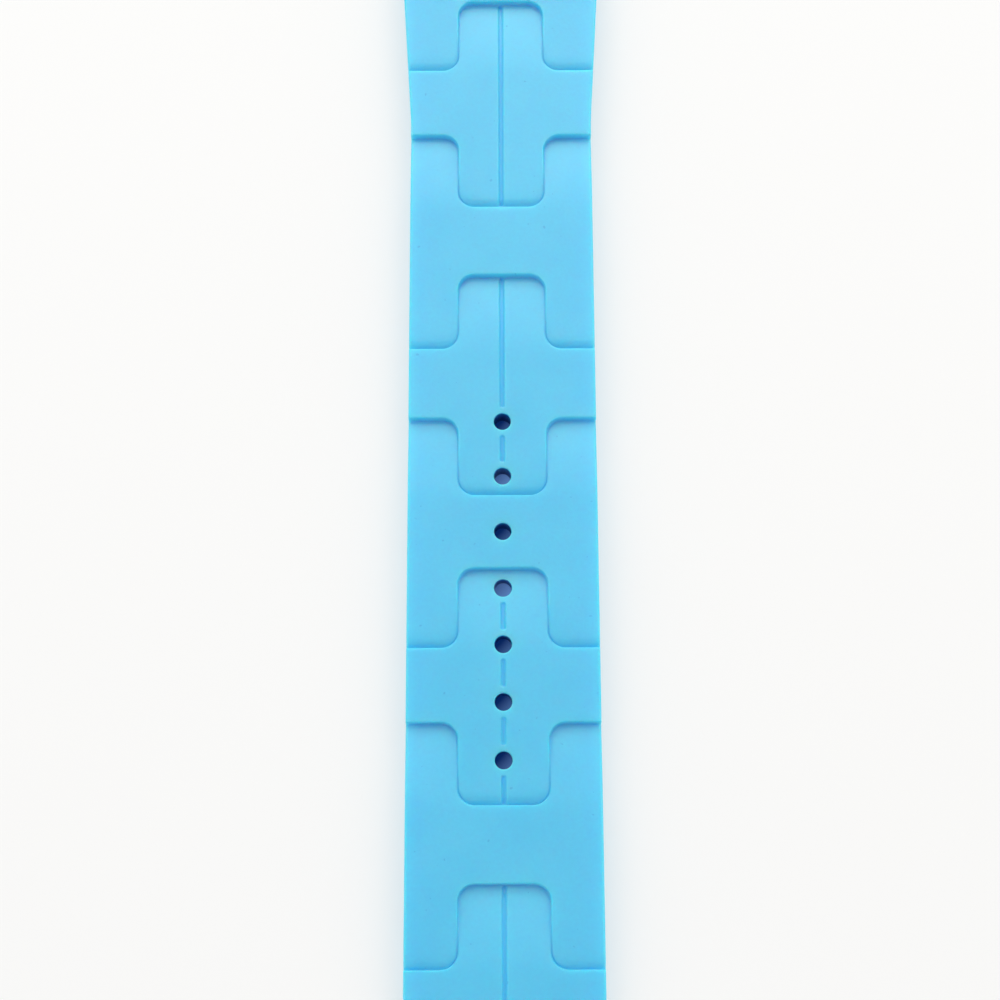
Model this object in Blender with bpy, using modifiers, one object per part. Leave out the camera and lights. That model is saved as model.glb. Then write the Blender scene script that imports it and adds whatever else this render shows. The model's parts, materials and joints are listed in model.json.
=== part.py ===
"""Two-piece silicone watch strap: long half, buckle half, pin buckle, keepers and spring bars.

Metres, +Z up. Both halves lie face up and end to end along Y, the long half towards -Y. Each half is modelled
in the frame of its lug bar: X across the strap, Y along it away from the bar, Z up, with the bar at zero.
"""
import math

import bmesh
import bpy
from mathutils import Matrix, Vector

MM = 0.001

# Strap halves
STRAP_THICKNESS = 3.4 * MM
LUG_WIDTH = 22.0 * MM
WAIST_TAPER = 2.0 * MM
TAIL_FLARE = 0.5 * MM
FLARE_START = 13.0 * MM
FLARE_END = 29.0 * MM
FLARE_RADIUS = 30.0 * MM
TIP_RADIUS = 8.0 * MM
STRAP_EDGE = 0.4 * MM
HALVES_GAP = 0.4 * MM

# Relief: tongued plates and legged plates, each dipping under the next one's bar
LUG_PLATE = 14.5 * MM
TONGUE_LENGTH = 8.4 * MM
TONGUE_WIDTH = 9.5 * MM
ARM_LENGTH = 7.8 * MM
BAR_LENGTH = 7.9 * MM
PLATE_CORNER = 1.4 * MM
STEP_DEPTH = 0.6 * MM
PLATE_OVERLAP = 0.05 * MM
PLATE_ROOT = 0.5 * MM
PLATE_CROWN = 0.02 * MM
LONG_PLATE_COUNT = 4
SHORT_PLATE_COUNT = 2
TAIL_PLATE = 10.6 * MM

# Centre groove and buckle holes
GROOVE_WIDTH = 0.5 * MM
GROOVE_DEPTH = 0.35 * MM
GROOVE_GAP = 0.55 * MM
GROOVE_TAIL = 6.0 * MM
SHORTEST_GROOVE = 1.0 * MM
HOLE_DIAMETER = 2.0 * MM
HOLE_PITCH = 6.0 * MM
HOLE_COUNT = 7
FIRST_HOLE = 63.55 * MM

# Spring bars
BAR_DIAMETER = 1.78 * MM
BAR_WALL = 0.2 * MM
CRIMP_LENGTH = 0.4 * MM
PIN_DIAMETER = 0.9 * MM
PIN_TIP_DIAMETER = 0.8 * MM
PIN_TIP_LENGTH = 0.9 * MM
PIN_FLANGE_DIAMETER = 1.5 * MM
PIN_FLANGE_LENGTH = 0.4 * MM
PIN_HEAD_LENGTH = 1.6 * MM
PIN_TRAVEL = 1.2 * MM
PIN_CHAMFER = 0.1 * MM
SPRING_WIRE = 0.16 * MM
SPRING_TURNS = 9
RUN_CLEARANCE = 0.08 * MM
SEAT_GAP = 0.1 * MM

# Buckle
BUCKLE_PLATE = 20.6 * MM
SLOT_BACK = 5.0 * MM
FRAME_ARM = 2.2 * MM
FRAME_SIDE_GAP = 0.3 * MM
FRAME_BOSS = 1.5 * MM
FRAME_WINDOW = 10.0 * MM
FRAME_FRONT = 3.6 * MM
FRAME_RISE = 1.8 * MM
FRAME_FRONT_HEIGHT = 2.4 * MM
FRAME_BOW = 0.7 * MM
FRAME_CORNER = 3.2 * MM
PRONG_WIDTH = 1.8 * MM
PRONG_THICKNESS = 1.1 * MM
PRONG_EYE_WALL = 0.6 * MM
PRONG_OVERHANG = 0.6 * MM
PRONG_NOTCH = 0.5 * MM
PRONG_EDGE = 0.15 * MM
SIDE_CLEARANCE = 0.4 * MM

# Keepers
KEEPER_WALL = 1.5 * MM
KEEPER_WIDTH = 6.0 * MM
KEEPER_GAP = 0.3 * MM
KEEPER_SLACK = 1.2 * MM
KEEPER_EDGE = 0.4 * MM
KEEPER_TO_BUCKLE = 10.0 * MM
KEEPER_SPACING = 1.5 * MM
PEG_DIAMETER = 3.0 * MM
PEG_HEIGHT = 1.2 * MM

# Fineness of arcs, slopes and turned shapes
ARC_STEPS = 6
SLOPE_STEPS = 6
EDGE_STEPS = 1
TURN_STEPS = 20
HOLE_SIDES = 24
COIL_POINTS = 8
WELD = 0.001 * MM
FLAT_ANGLE = 0.001
CUT_MARGIN = 1.0 * MM

# The exact solver drops faces where the halves' cutters are several bodies
RELIEF_SOLVER = "MANIFOLD"

# Sizes that follow from the ones above
TOP = STRAP_THICKNESS / 2
LOW = TOP - STEP_DEPTH
CROWN = TOP + PLATE_CROWN
WAIST_WIDTH = LUG_WIDTH - WAIST_TAPER
TAIL_WIDTH = WAIST_WIDTH + TAIL_FLARE
PITCH = 2 * TONGUE_LENGTH + ARM_LENGTH + BAR_LENGTH
LONG_END = LUG_PLATE + (LONG_PLATE_COUNT - 1) * PITCH + TONGUE_LENGTH + TAIL_PLATE
BUCKLE_AXIS = LUG_PLATE + (SHORT_PLATE_COUNT - 1) * PITCH + TONGUE_LENGTH + BUCKLE_PLATE
BORE_DIAMETER = BAR_DIAMETER + 2 * RUN_CLEARANCE
FRAME_INNER = TAIL_WIDTH + 2 * FRAME_SIDE_GAP
FRAME_END = FRAME_WINDOW + FRAME_FRONT
PRONG_EYE = BAR_DIAMETER / 2 + RUN_CLEARANCE + PRONG_EYE_WALL
KEEPER_DROP = TOP + KEEPER_GAP + KEEPER_WALL
KEEPER_FIXED_START = BUCKLE_AXIS - KEEPER_TO_BUCKLE - KEEPER_WIDTH
KEEPER_FREE_START = KEEPER_FIXED_START - KEEPER_SPACING - KEEPER_WIDTH
CUT_WIDTH = LUG_WIDTH + TAIL_FLARE + 2 * CUT_MARGIN

# Outline axes to the half's frame: seen from the side, and from the end
FROM_SIDE = Matrix(((0, 0, 1, 0), (1, 0, 0, 0), (0, 1, 0, 0), (0, 0, 0, 1)))
FROM_END = Matrix.Rotation(math.pi / 2, 4, "X")


def clear_scene():
    for item in list(bpy.data.objects):
        bpy.data.objects.remove(item, do_unlink=True)


def new_collection(name):
    collection = bpy.data.collections.new(name)
    bpy.context.scene.collection.children.link(collection)
    return collection


def finish_of(name, colour, roughness, metallic):
    material = bpy.data.materials.new(name)
    material.use_nodes = True
    shader = material.node_tree.nodes["Principled BSDF"]
    shader.inputs["Base Color"].default_value = (*colour, 1.0)
    shader.inputs["Roughness"].default_value = roughness
    shader.inputs["Metallic"].default_value = metallic
    return material


def rounded(corners):
    """Closed outline through (x, y, radius) corners, each with its arc."""
    points = []
    for index, (x, y, radius) in enumerate(corners):
        corner = Vector((x, y))
        back = (Vector(corners[index - 1][:2]) - corner).normalized()
        ahead = (Vector(corners[(index + 1) % len(corners)][:2]) - corner).normalized()
        if radius <= 0:
            points.append(corner)
            continue
        half = back.angle(ahead) / 2
        centre = corner + (back + ahead).normalized() * (radius / math.sin(half))
        start = corner + back * (radius / math.tan(half)) - centre
        sweep = math.pi - 2 * half
        if back.x * ahead.y - back.y * ahead.x > 0:
            sweep = -sweep
        for step in range(ARC_STEPS + 1):
            points.append(centre + Matrix.Rotation(sweep * step / ARC_STEPS, 2) @ start)
    return points


def circle(x, y, radius, sides=HOLE_SIDES):
    turns = [2 * math.pi * side / sides for side in range(sides)]
    return [Vector((x + radius * math.cos(turn), y + radius * math.sin(turn))) for turn in turns]


def extruded(name, outlines, low, high, edge=0.0, turn=Matrix()):
    """Mesh of flat outlines between two heights, its edges rounded by edge, turned into the half's frame."""
    curve = bpy.data.curves.new(name, "CURVE")
    curve.dimensions = "2D"
    curve.fill_mode = "BOTH"
    curve.extrude = (high - low) / 2 - edge
    curve.bevel_depth = edge
    curve.bevel_resolution = EDGE_STEPS
    curve.offset = -edge
    for outline in outlines:
        spline = curve.splines.new("POLY")
        spline.points.add(len(outline) - 1)
        for point, place in zip(spline.points, outline):
            point.co = (place.x, place.y, 0.0, 1.0)
        spline.use_cyclic_u = True
    flat = bpy.data.objects.new(name, curve)
    bpy.context.scene.collection.objects.link(flat)
    seen = flat.evaluated_get(bpy.context.evaluated_depsgraph_get())
    mesh = bpy.data.meshes.new_from_object(seen)
    bpy.data.objects.remove(flat, do_unlink=True)
    mesh.transform(turn @ Matrix.Translation((0.0, 0.0, (low + high) / 2)))
    shape = bmesh.new()
    shape.from_mesh(mesh)
    bmesh.ops.remove_doubles(shape, verts=shape.verts, dist=WELD)
    bmesh.ops.dissolve_limit(shape, angle_limit=FLAT_ANGLE, verts=shape.verts, edges=shape.edges)
    bmesh.ops.recalc_face_normals(shape, faces=shape.faces)
    shape.to_mesh(mesh)
    shape.free()
    return mesh


def across(name, outline, width):
    """Mesh of a side outline (along, height), as wide as given, centred on the strap."""
    return extruded(name, [outline], -width / 2, width / 2, turn=FROM_SIDE)


def cylinders(name, places, diameter, low, high):
    """Mesh of upright round bars at the given (x, y) places."""
    shape = bmesh.new()
    for x, y in places:
        bmesh.ops.create_cone(
            shape, cap_ends=True, segments=HOLE_SIDES, radius1=diameter / 2, radius2=diameter / 2,
            depth=high - low, matrix=Matrix.Translation((x, y, (low + high) / 2)))
    mesh = bpy.data.meshes.new(name)
    shape.to_mesh(mesh)
    shape.free()
    return mesh


def cross_bar(name, along, diameter, width):
    """Mesh of a round bar lying across the strap."""
    mesh = cylinders(name, [(0.0, 0.0)], diameter, -width / 2, width / 2)
    mesh.transform(Matrix.Translation((0.0, along, 0.0)) @ Matrix.Rotation(math.pi / 2, 4, "Y"))
    return mesh


class Workshop:
    """The parts' collection, the cutters' collection and the finishes."""

    def __init__(self):
        self.parts = new_collection("watch_strap")
        self.cutters = new_collection("cutters")
        self.silicone = finish_of("silicone", (0.157, 0.612, 0.871), 0.6, 0.0)
        self.steel = finish_of("steel", (0.62, 0.62, 0.64), 0.25, 1.0)

    def empty(self, name, place, rotation=(0.0, 0.0, 0.0), parent=None):
        frame = bpy.data.objects.new(name, None)
        frame.location = place
        frame.rotation_euler = rotation
        frame.parent = parent
        self.cutters.objects.link(frame)
        return frame

    def part(self, name, mesh, finish, parent, place=(0.0, 0.0, 0.0), rotation=(0.0, 0.0, 0.0)):
        piece = bpy.data.objects.new(name, mesh)
        if not mesh.materials:
            mesh.materials.append(finish)
        piece.parent = parent
        piece.location = place
        piece.rotation_euler = rotation
        self.parts.objects.link(piece)
        return piece

    def cutter(self, mesh, parent=None):
        tool = bpy.data.objects.new(mesh.name, mesh)
        tool.parent = parent
        tool.hide_render = True
        tool.display_type = "WIRE"
        self.cutters.objects.link(tool)
        return tool

    def carve(self, piece, operation, mesh, solver="EXACT"):
        """Boolean of a piece with a mesh that is given in the piece's own parent frame."""
        change = piece.modifiers.new(mesh.name, "BOOLEAN")
        change.operation = operation
        change.solver = solver
        change.object = self.cutter(mesh, piece.parent)

    def common(self, first, second):
        """Mesh of what two meshes share, each of several separate bodies."""
        piece = self.cutter(first)
        self.carve(piece, "INTERSECT", second, RELIEF_SOLVER)
        seen = piece.evaluated_get(bpy.context.evaluated_depsgraph_get())
        mesh = bpy.data.meshes.new_from_object(seen)
        mesh.name = first.name + "_shaped"
        return mesh


class Plate:
    """Places along one tongued plate: tip, arms and far tip. The last plate of a half runs on to its end."""

    def __init__(self, index, last_end=None):
        self.tip = LUG_PLATE + index * PITCH
        self.arm = self.tip + TONGUE_LENGTH
        self.runs_on = last_end is not None
        self.arm_end = last_end + CUT_MARGIN if self.runs_on else self.arm + ARM_LENGTH
        self.far_tip = self.arm_end if self.runs_on else self.arm_end + TONGUE_LENGTH

    def outline(self, inset, reach):
        """Plan of the plate, its arms reaching past the strap's sides."""
        side = TONGUE_WIDTH / 2 - inset
        outer = PLATE_CORNER - inset
        inner = PLATE_CORNER + inset
        tip, arm = self.tip + inset, self.arm + inset
        arm_end, far_tip = self.arm_end - inset, self.far_tip - inset
        right = [(side, tip, outer), (side, arm, inner), (reach, arm, 0.0), (reach, arm_end, 0.0)]
        if not self.runs_on:
            right += [(side, arm_end, inner), (side, far_tip, outer)]
        left = [(-x, y, radius) for x, y, radius in reversed(right)]
        return rounded(right + left)

    def line(self):
        """Top line of the tongued plate, up from its tip, along its arms and down again."""
        points = dip(self.arm, self.tip)[::-1]
        if self.runs_on:
            return points + [(self.arm_end + CUT_MARGIN, CROWN)]
        return points + dip(self.arm_end, self.far_tip)

    def leg_line(self):
        """Top line of the legs on both sides of the plate, down to its arms and up again."""
        points = dip(self.tip, self.arm)
        if self.runs_on:
            return points + [(self.arm_end + CUT_MARGIN, LOW)]
        return points + dip(self.far_tip, self.arm_end)[::-1]


def dip(start, end):
    """Top line of a tongue or leg that curves down from its bar to the step at its end."""
    way = math.copysign(2 * PLATE_OVERLAP, end - start)
    first, last = start - way, end + way
    shares = [step / SLOPE_STEPS for step in range(SLOPE_STEPS + 1)]
    return [(first + share * (last - first), CROWN - (CROWN - LOW) * share**2) for share in shares]


def closed_side(line, floor):
    """Side outline under a top line, down to a floor."""
    points = [Vector(place) for place in line]
    return points + [Vector((points[-1].x, floor)), Vector((points[0].x, floor))]


def groove_spans(plates, holes, end):
    """Stretches of the centre groove, which stops short of each hole."""
    spans = []
    for plate in plates:
        start = plate.tip + PLATE_OVERLAP * 2
        last = plate.arm + GROOVE_TAIL if plate.runs_on else plate.far_tip - PLATE_OVERLAP * 2
        room = HOLE_DIAMETER / 2 + GROOVE_GAP
        for hole in holes:
            if start - room < hole < last + room:
                spans.append((start, min(last, hole - room)))
                start = hole + room
        spans.append((start, min(last, end)))
    return [(start, last) for start, last in spans if last - start > SHORTEST_GROOVE]


def relief_body(shop, name, parent, plate_count, end, holes):
    """Strap half with its relief and groove, before its outline is cut: wider and longer than the half."""
    plates = [Plate(index) for index in range(plate_count - 1)] + [Plate(plate_count - 1, end)]
    legs = [(-STRAP_THICKNESS - CUT_MARGIN, CROWN)]
    tongues = []
    for plate in plates:
        legs += plate.leg_line()
        tongues += plate.line()
    base = across(name, closed_side(legs, -TOP - CUT_MARGIN), CUT_WIDTH)
    strap = shop.part(name, base, shop.silicone, parent)

    floor = LOW - PLATE_ROOT
    pockets = [plate.outline(PLATE_OVERLAP, CUT_WIDTH / 2 + CUT_MARGIN) for plate in plates]
    pocket_tool = extruded(name + "_pockets", pockets, floor, TOP + CUT_MARGIN)
    shop.carve(strap, "DIFFERENCE", pocket_tool, RELIEF_SOLVER)
    plans = [plate.outline(0.0, CUT_WIDTH / 2 - PLATE_ROOT) for plate in plates]
    tall = extruded(name + "_plates", plans, floor - PLATE_ROOT, TOP + CUT_MARGIN)
    under_line = across(name + "_plate_tops", closed_side(tongues, -TOP), CUT_WIDTH)
    shop.carve(strap, "UNION", shop.common(tall, under_line), RELIEF_SOLVER)

    slots = []
    for first, last in groove_spans(plates, holes, end):
        side, turn = GROOVE_WIDTH / 2, GROOVE_WIDTH * 0.49
        slots.append(rounded([
            (side, first, turn), (side, last, turn), (-side, last, turn), (-side, first, turn)]))
    floor_line = [(along, height - GROOVE_DEPTH) for along, height in tongues]
    above_line = across(name + "_groove_floor", closed_side(floor_line, TOP + 2 * CUT_MARGIN), CUT_WIDTH)
    tall = extruded(name + "_slots", slots, -TOP, TOP + CUT_MARGIN)
    shop.carve(strap, "DIFFERENCE", shop.common(tall, above_line), RELIEF_SOLVER)
    return strap


def trim_half(shop, strap, plan):
    """Cut a half to its plan, and round and bore its lug end."""
    name = strap.name
    shop.carve(strap, "INTERSECT", extruded(name + "_plan", [plan], -TOP, TOP, STRAP_EDGE), RELIEF_SOLVER)
    shop.carve(strap, "DIFFERENCE", round_end(name + "_lug_round", 0.0, -1), RELIEF_SOLVER)
    lug_bore = cross_bar(name + "_lug_bore", 0.0, BORE_DIAMETER, CUT_WIDTH)
    shop.carve(strap, "DIFFERENCE", lug_bore, RELIEF_SOLVER)


def half_plan(end, end_width, end_radius):
    """Plan of a half: parallel lug end, flare to the waist, slow widening to the far end."""
    right = [
        (LUG_WIDTH / 2, -STRAP_THICKNESS, 0.0), (LUG_WIDTH / 2, FLARE_START, FLARE_RADIUS),
        (WAIST_WIDTH / 2, FLARE_END, FLARE_RADIUS), (end_width / 2, end, end_radius)]
    return rounded(right + [(-x, y, radius) for x, y, radius in reversed(right)])


def round_end(name, along, way):
    """Cutter that leaves a strap round about the bar at this place, on the side that way points to."""
    radius = TOP + PLATE_CROWN
    past = along + way * (STRAP_THICKNESS + 2 * CUT_MARGIN)
    turns = [math.pi * (step / (2 * ARC_STEPS) - 0.5) for step in range(2 * ARC_STEPS + 1)]
    arc = [Vector((along + way * radius * math.cos(turn), radius * math.sin(turn))) for turn in turns]
    high = TOP + CUT_MARGIN
    corners = [Vector(place) for place in ((along, high), (past, high), (past, -high), (along, -high))]
    return across(name, arc + corners, CUT_WIDTH)


def build_long_half(shop, parent):
    holes = [FIRST_HOLE + index * HOLE_PITCH for index in range(HOLE_COUNT)]
    strap = relief_body(shop, "strap_long", parent, LONG_PLATE_COUNT, LONG_END, holes)
    trim_half(shop, strap, half_plan(LONG_END, TAIL_WIDTH, TIP_RADIUS))
    places = [(0.0, hole) for hole in holes]
    punches = cylinders("strap_long_holes", places, HOLE_DIAMETER, -TOP - CUT_MARGIN, TOP + CUT_MARGIN)
    shop.carve(strap, "DIFFERENCE", punches, RELIEF_SOLVER)


def build_short_half(shop, parent):
    end = BUCKLE_AXIS + TOP
    past_end = end + STRAP_THICKNESS
    strap = relief_body(shop, "strap_short", parent, SHORT_PLATE_COUNT, past_end, [])
    trim_half(shop, strap, half_plan(past_end, WAIST_WIDTH, 0.0))
    shop.carve(strap, "DIFFERENCE", round_end("strap_short_buckle_round", BUCKLE_AXIS, 1), RELIEF_SOLVER)
    bore = cross_bar("strap_short_bore", BUCKLE_AXIS, BORE_DIAMETER, CUT_WIDTH)
    shop.carve(strap, "DIFFERENCE", bore, RELIEF_SOLVER)
    side = PRONG_WIDTH / 2 + SIDE_CLEARANCE
    back = BUCKLE_AXIS - SLOT_BACK
    slot = rounded([
        (side, past_end, 0.0), (-side, past_end, 0.0), (-side, back, side * 0.9), (side, back, side * 0.9)])
    slot_tool = extruded("strap_short_slot", [slot], -TOP - CUT_MARGIN, TOP + CUT_MARGIN)
    shop.carve(strap, "DIFFERENCE", slot_tool, RELIEF_SOLVER)
    peg_place = [(0.0, KEEPER_FIXED_START + KEEPER_WIDTH / 2)]
    peg_hole = PEG_DIAMETER + 2 * KEEPER_GAP
    peg_tool = cylinders("strap_short_peg_hole", peg_place, peg_hole, -TOP - CUT_MARGIN, -TOP + PEG_HEIGHT)
    shop.carve(strap, "DIFFERENCE", peg_tool, RELIEF_SOLVER)


def keeper_mesh(name):
    """Band round two thicknesses of strap, from its own start along the half."""
    inner_side = TAIL_WIDTH / 2 + KEEPER_GAP
    low, high = -TOP - KEEPER_GAP, TOP + STRAP_THICKNESS + KEEPER_SLACK
    outlines = []
    for wall in (KEEPER_WALL, 0.0):
        side, turn = inner_side + wall, wall + KEEPER_EDGE
        under, over = low - wall, high + wall
        outlines.append(rounded([
            (side, under, turn), (side, over, turn), (-side, over, turn), (-side, under, turn)]))
    return extruded(name, outlines, -KEEPER_WIDTH, 0.0, KEEPER_EDGE, FROM_END)


def build_keepers(shop, parent):
    fixed = shop.part("keeper_fixed", keeper_mesh("keeper_fixed"), shop.silicone, parent,
                      (0.0, KEEPER_FIXED_START, 0.0))
    root = -TOP - KEEPER_GAP - KEEPER_WALL / 2
    peg_top = -TOP + PEG_HEIGHT - KEEPER_GAP
    peg_place = [(0.0, KEEPER_FIXED_START + KEEPER_WIDTH / 2)]
    shop.carve(fixed, "UNION", cylinders("keeper_peg", peg_place, PEG_DIAMETER, root, peg_top))
    shop.part("keeper_free", keeper_mesh("keeper_free"), shop.silicone, parent, (0.0, KEEPER_FREE_START, 0.0))


def turned(shop, name, profile, closed, parent, rotation):
    """Steel piece turned about its own Z axis. The (radius, height) profile runs down its outer side."""
    mesh = bpy.data.meshes.new(name)
    edges = [(index, index + 1) for index in range(len(profile) - 1)]
    if closed:
        edges.append((len(profile) - 1, 0))
    mesh.from_pydata([(radius, 0.0, height) for radius, height in profile], edges, [])
    piece = shop.part(name, mesh, shop.steel, parent, rotation=rotation)
    turn = piece.modifiers.new("turn", "SCREW")
    turn.axis = "Z"
    turn.steps = TURN_STEPS
    turn.render_steps = TURN_STEPS
    turn.use_merge_vertices = True
    turn.merge_threshold = WELD
    turn.use_smooth_shade = True
    return piece


def spring_path(length, radius):
    """Points of the coil about Z, and the least gap between its turns."""
    count = SPRING_TURNS * COIL_POINTS
    points = []
    for index in range(count + 1):
        angle = 2 * math.pi * index / COIL_POINTS
        height = length * (index / count - 0.5)
        points.append(Vector((radius * math.cos(angle), radius * math.sin(angle), height)))
    apart = [
        (points[i] - points[j]).length
        for i in range(len(points)) for j in range(i + COIL_POINTS // 2, len(points))]
    return points, min(apart) - SPRING_WIRE


def build_spring_bar(shop, prefix, span, parent):
    """Spring bar across the strap: tube with crimped ends, coil and two pins, span being flange to flange."""
    outer = BAR_DIAMETER / 2
    inner = outer - BAR_WALL
    lip = PIN_DIAMETER / 2 + RUN_CLEARANCE
    end = span / 2 - PIN_FLANGE_LENGTH - PIN_TRAVEL - SEAT_GAP
    throat = end - CRIMP_LENGTH
    upright = (0.0, math.pi / 2, 0.0)
    turned(shop, prefix + "_tube", [
        (lip, end), (outer - PIN_CHAMFER, end), (outer, end - PIN_CHAMFER),
        (outer, -end + PIN_CHAMFER), (outer - PIN_CHAMFER, -end), (lip, -end),
        (lip, -throat), (inner, -throat), (inner, throat), (lip, throat)], True, parent, upright)

    flange = span / 2
    tip = flange + PIN_TIP_LENGTH
    head_top = throat - SEAT_GAP
    head_low = head_top - PIN_HEAD_LENGTH
    head = inner - RUN_CLEARANCE
    profile = [
        (0.0, tip), (PIN_TIP_DIAMETER / 2 - PIN_CHAMFER, tip), (PIN_TIP_DIAMETER / 2, tip - PIN_CHAMFER),
        (PIN_TIP_DIAMETER / 2, flange), (PIN_FLANGE_DIAMETER / 2, flange),
        (PIN_FLANGE_DIAMETER / 2, flange - PIN_FLANGE_LENGTH), (PIN_DIAMETER / 2, flange - PIN_FLANGE_LENGTH),
        (PIN_DIAMETER / 2, head_top), (head, head_top), (head, head_low), (0.0, head_low)]
    turned(shop, prefix + "_pin_right", profile, False, parent, upright)
    turned(shop, prefix + "_pin_left", profile, False, parent, (0.0, -math.pi / 2, 0.0))

    room = head_low - SEAT_GAP - SPRING_WIRE / 2
    points, gap = spring_path(2 * room, inner - RUN_CLEARANCE - SPRING_WIRE / 2)
    print(f"{prefix}_spring: least gap between turns {gap / MM:.2f} mm")
    curve = bpy.data.curves.new(prefix + "_spring", "CURVE")
    curve.dimensions = "3D"
    curve.bevel_depth = SPRING_WIRE / 2
    curve.bevel_resolution = 1
    curve.use_fill_caps = True
    spline = curve.splines.new("POLY")
    spline.points.add(len(points) - 1)
    for point, place in zip(spline.points, points):
        point.co = (*place, 1.0)
    shop.part(prefix + "_spring", curve, shop.steel, parent, rotation=upright)


def frame_side():
    """Side outline of the buckle's frame about its bar: round boss, arms that rise to the front bar."""
    elbow = FRAME_WINDOW / 2
    front_low = FRAME_RISE - FRAME_FRONT_HEIGHT / 2
    front_high = FRAME_RISE + FRAME_FRONT_HEIGHT / 2
    boss = FRAME_BOSS * 0.99
    bend = 2 * FRAME_WINDOW
    end = FRAME_END + FRAME_BOW
    return rounded([
        (-FRAME_BOSS, FRAME_BOSS, boss), (-FRAME_BOSS, -FRAME_BOSS, boss), (elbow, -FRAME_BOSS, bend),
        (end, front_low, FRAME_FRONT_HEIGHT * 0.4), (end, front_high, FRAME_FRONT_HEIGHT * 0.4),
        (elbow, FRAME_BOSS, bend)])


def frame_plan():
    """Plan of the buckle's frame: a U, open at the bar."""
    inner = FRAME_INNER / 2
    outer = inner + FRAME_ARM
    back = -FRAME_BOSS - CUT_MARGIN
    right = [(inner, FRAME_WINDOW, FRAME_CORNER / 2), (inner, back, 0.0), (outer, back, 0.0),
             (outer, FRAME_END, FRAME_CORNER)]
    left = [(-x, y, radius) for x, y, radius in reversed(right)]
    return rounded(right + [(0.0, FRAME_END + FRAME_BOW, 2 * FRAME_INNER)] + left)


def prong_side():
    """Side outline of the tongue and its eye about the buckle's bar, the tongue lying on the front bar."""
    rest = FRAME_RISE + FRAME_FRONT_HEIGHT / 2 - PRONG_NOTCH + SEAT_GAP
    tip = FRAME_END + FRAME_BOW + PRONG_OVERHANG
    eye = PRONG_EYE * 0.99
    knee = FRAME_WINDOW / 2
    return rounded([
        (-PRONG_EYE, PRONG_EYE, eye), (-PRONG_EYE, -PRONG_EYE, eye), (PRONG_EYE, -PRONG_EYE, eye),
        (PRONG_EYE, PRONG_EYE - PRONG_THICKNESS, 0.0), (knee, rest, FRAME_WINDOW / 2),
        (tip, rest, PRONG_THICKNESS / 4), (tip, rest + PRONG_THICKNESS, PRONG_THICKNESS / 2),
        (knee, rest + PRONG_THICKNESS, FRAME_WINDOW / 2)])


def build_buckle(shop, parent):
    side = frame_side()
    whole = FRAME_INNER + 2 * FRAME_ARM
    frame = shop.part("buckle_frame", across("buckle_frame", side, whole + CUT_MARGIN), shop.steel, parent)
    height = FRAME_RISE + FRAME_FRONT_HEIGHT + CUT_MARGIN
    shop.carve(frame, "INTERSECT", extruded("buckle_frame_plan", [frame_plan()], -height, height))
    pin_hole = PIN_TIP_DIAMETER + 2 * RUN_CLEARANCE
    shop.carve(frame, "DIFFERENCE", cross_bar("buckle_frame_pin_hole", 0.0, pin_hole, whole + CUT_MARGIN))
    notch_side = PRONG_WIDTH / 2 + SIDE_CLEARANCE
    notch_low = FRAME_RISE + FRAME_FRONT_HEIGHT / 2 - PRONG_NOTCH
    notch = rounded([
        (notch_side, FRAME_WINDOW / 2, 0.0), (notch_side, FRAME_END + 2 * CUT_MARGIN, 0.0),
        (-notch_side, FRAME_END + 2 * CUT_MARGIN, 0.0), (-notch_side, FRAME_WINDOW / 2, 0.0)])
    shop.carve(frame, "DIFFERENCE", extruded("buckle_frame_notch", [notch], notch_low, notch_low + height))

    eye = circle(0.0, 0.0, BAR_DIAMETER / 2 + RUN_CLEARANCE)
    prong = extruded(
        "buckle_tongue", [prong_side(), eye], -PRONG_WIDTH / 2, PRONG_WIDTH / 2, PRONG_EDGE, FROM_SIDE)
    shop.part("buckle_tongue", prong, shop.steel, parent)
    build_spring_bar(shop, "buckle_bar", FRAME_INNER - 2 * SEAT_GAP, parent)


def lean_on_keeper():
    """Angle at which the buckle half lies with its lug end and its free keeper on the table."""
    reach = math.hypot(KEEPER_FREE_START, KEEPER_DROP)
    return math.atan2(KEEPER_DROP, KEEPER_FREE_START) - math.asin(TOP / reach)


def hang_to_table(outline, height):
    """Angle by which an outline that turns about a bar at this height drops until it meets the table."""
    angles = []
    for point in outline:
        reach = point.length
        if point.x > 0 and reach > height:
            angles.append(math.atan2(point.y, point.x) + math.asin(height / reach))
    return min(angles)


def centre_on_table(root, parts):
    """Move the root so that the whole part is centred over the origin along Y."""
    graph = bpy.context.evaluated_depsgraph_get()
    along = []
    for piece in parts:
        seen = piece.evaluated_get(graph)
        along += [(seen.matrix_world @ vertex.co).y for vertex in seen.to_mesh().vertices]
        seen.to_mesh_clear()
    root.location.y -= (min(along) + max(along)) / 2


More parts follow.
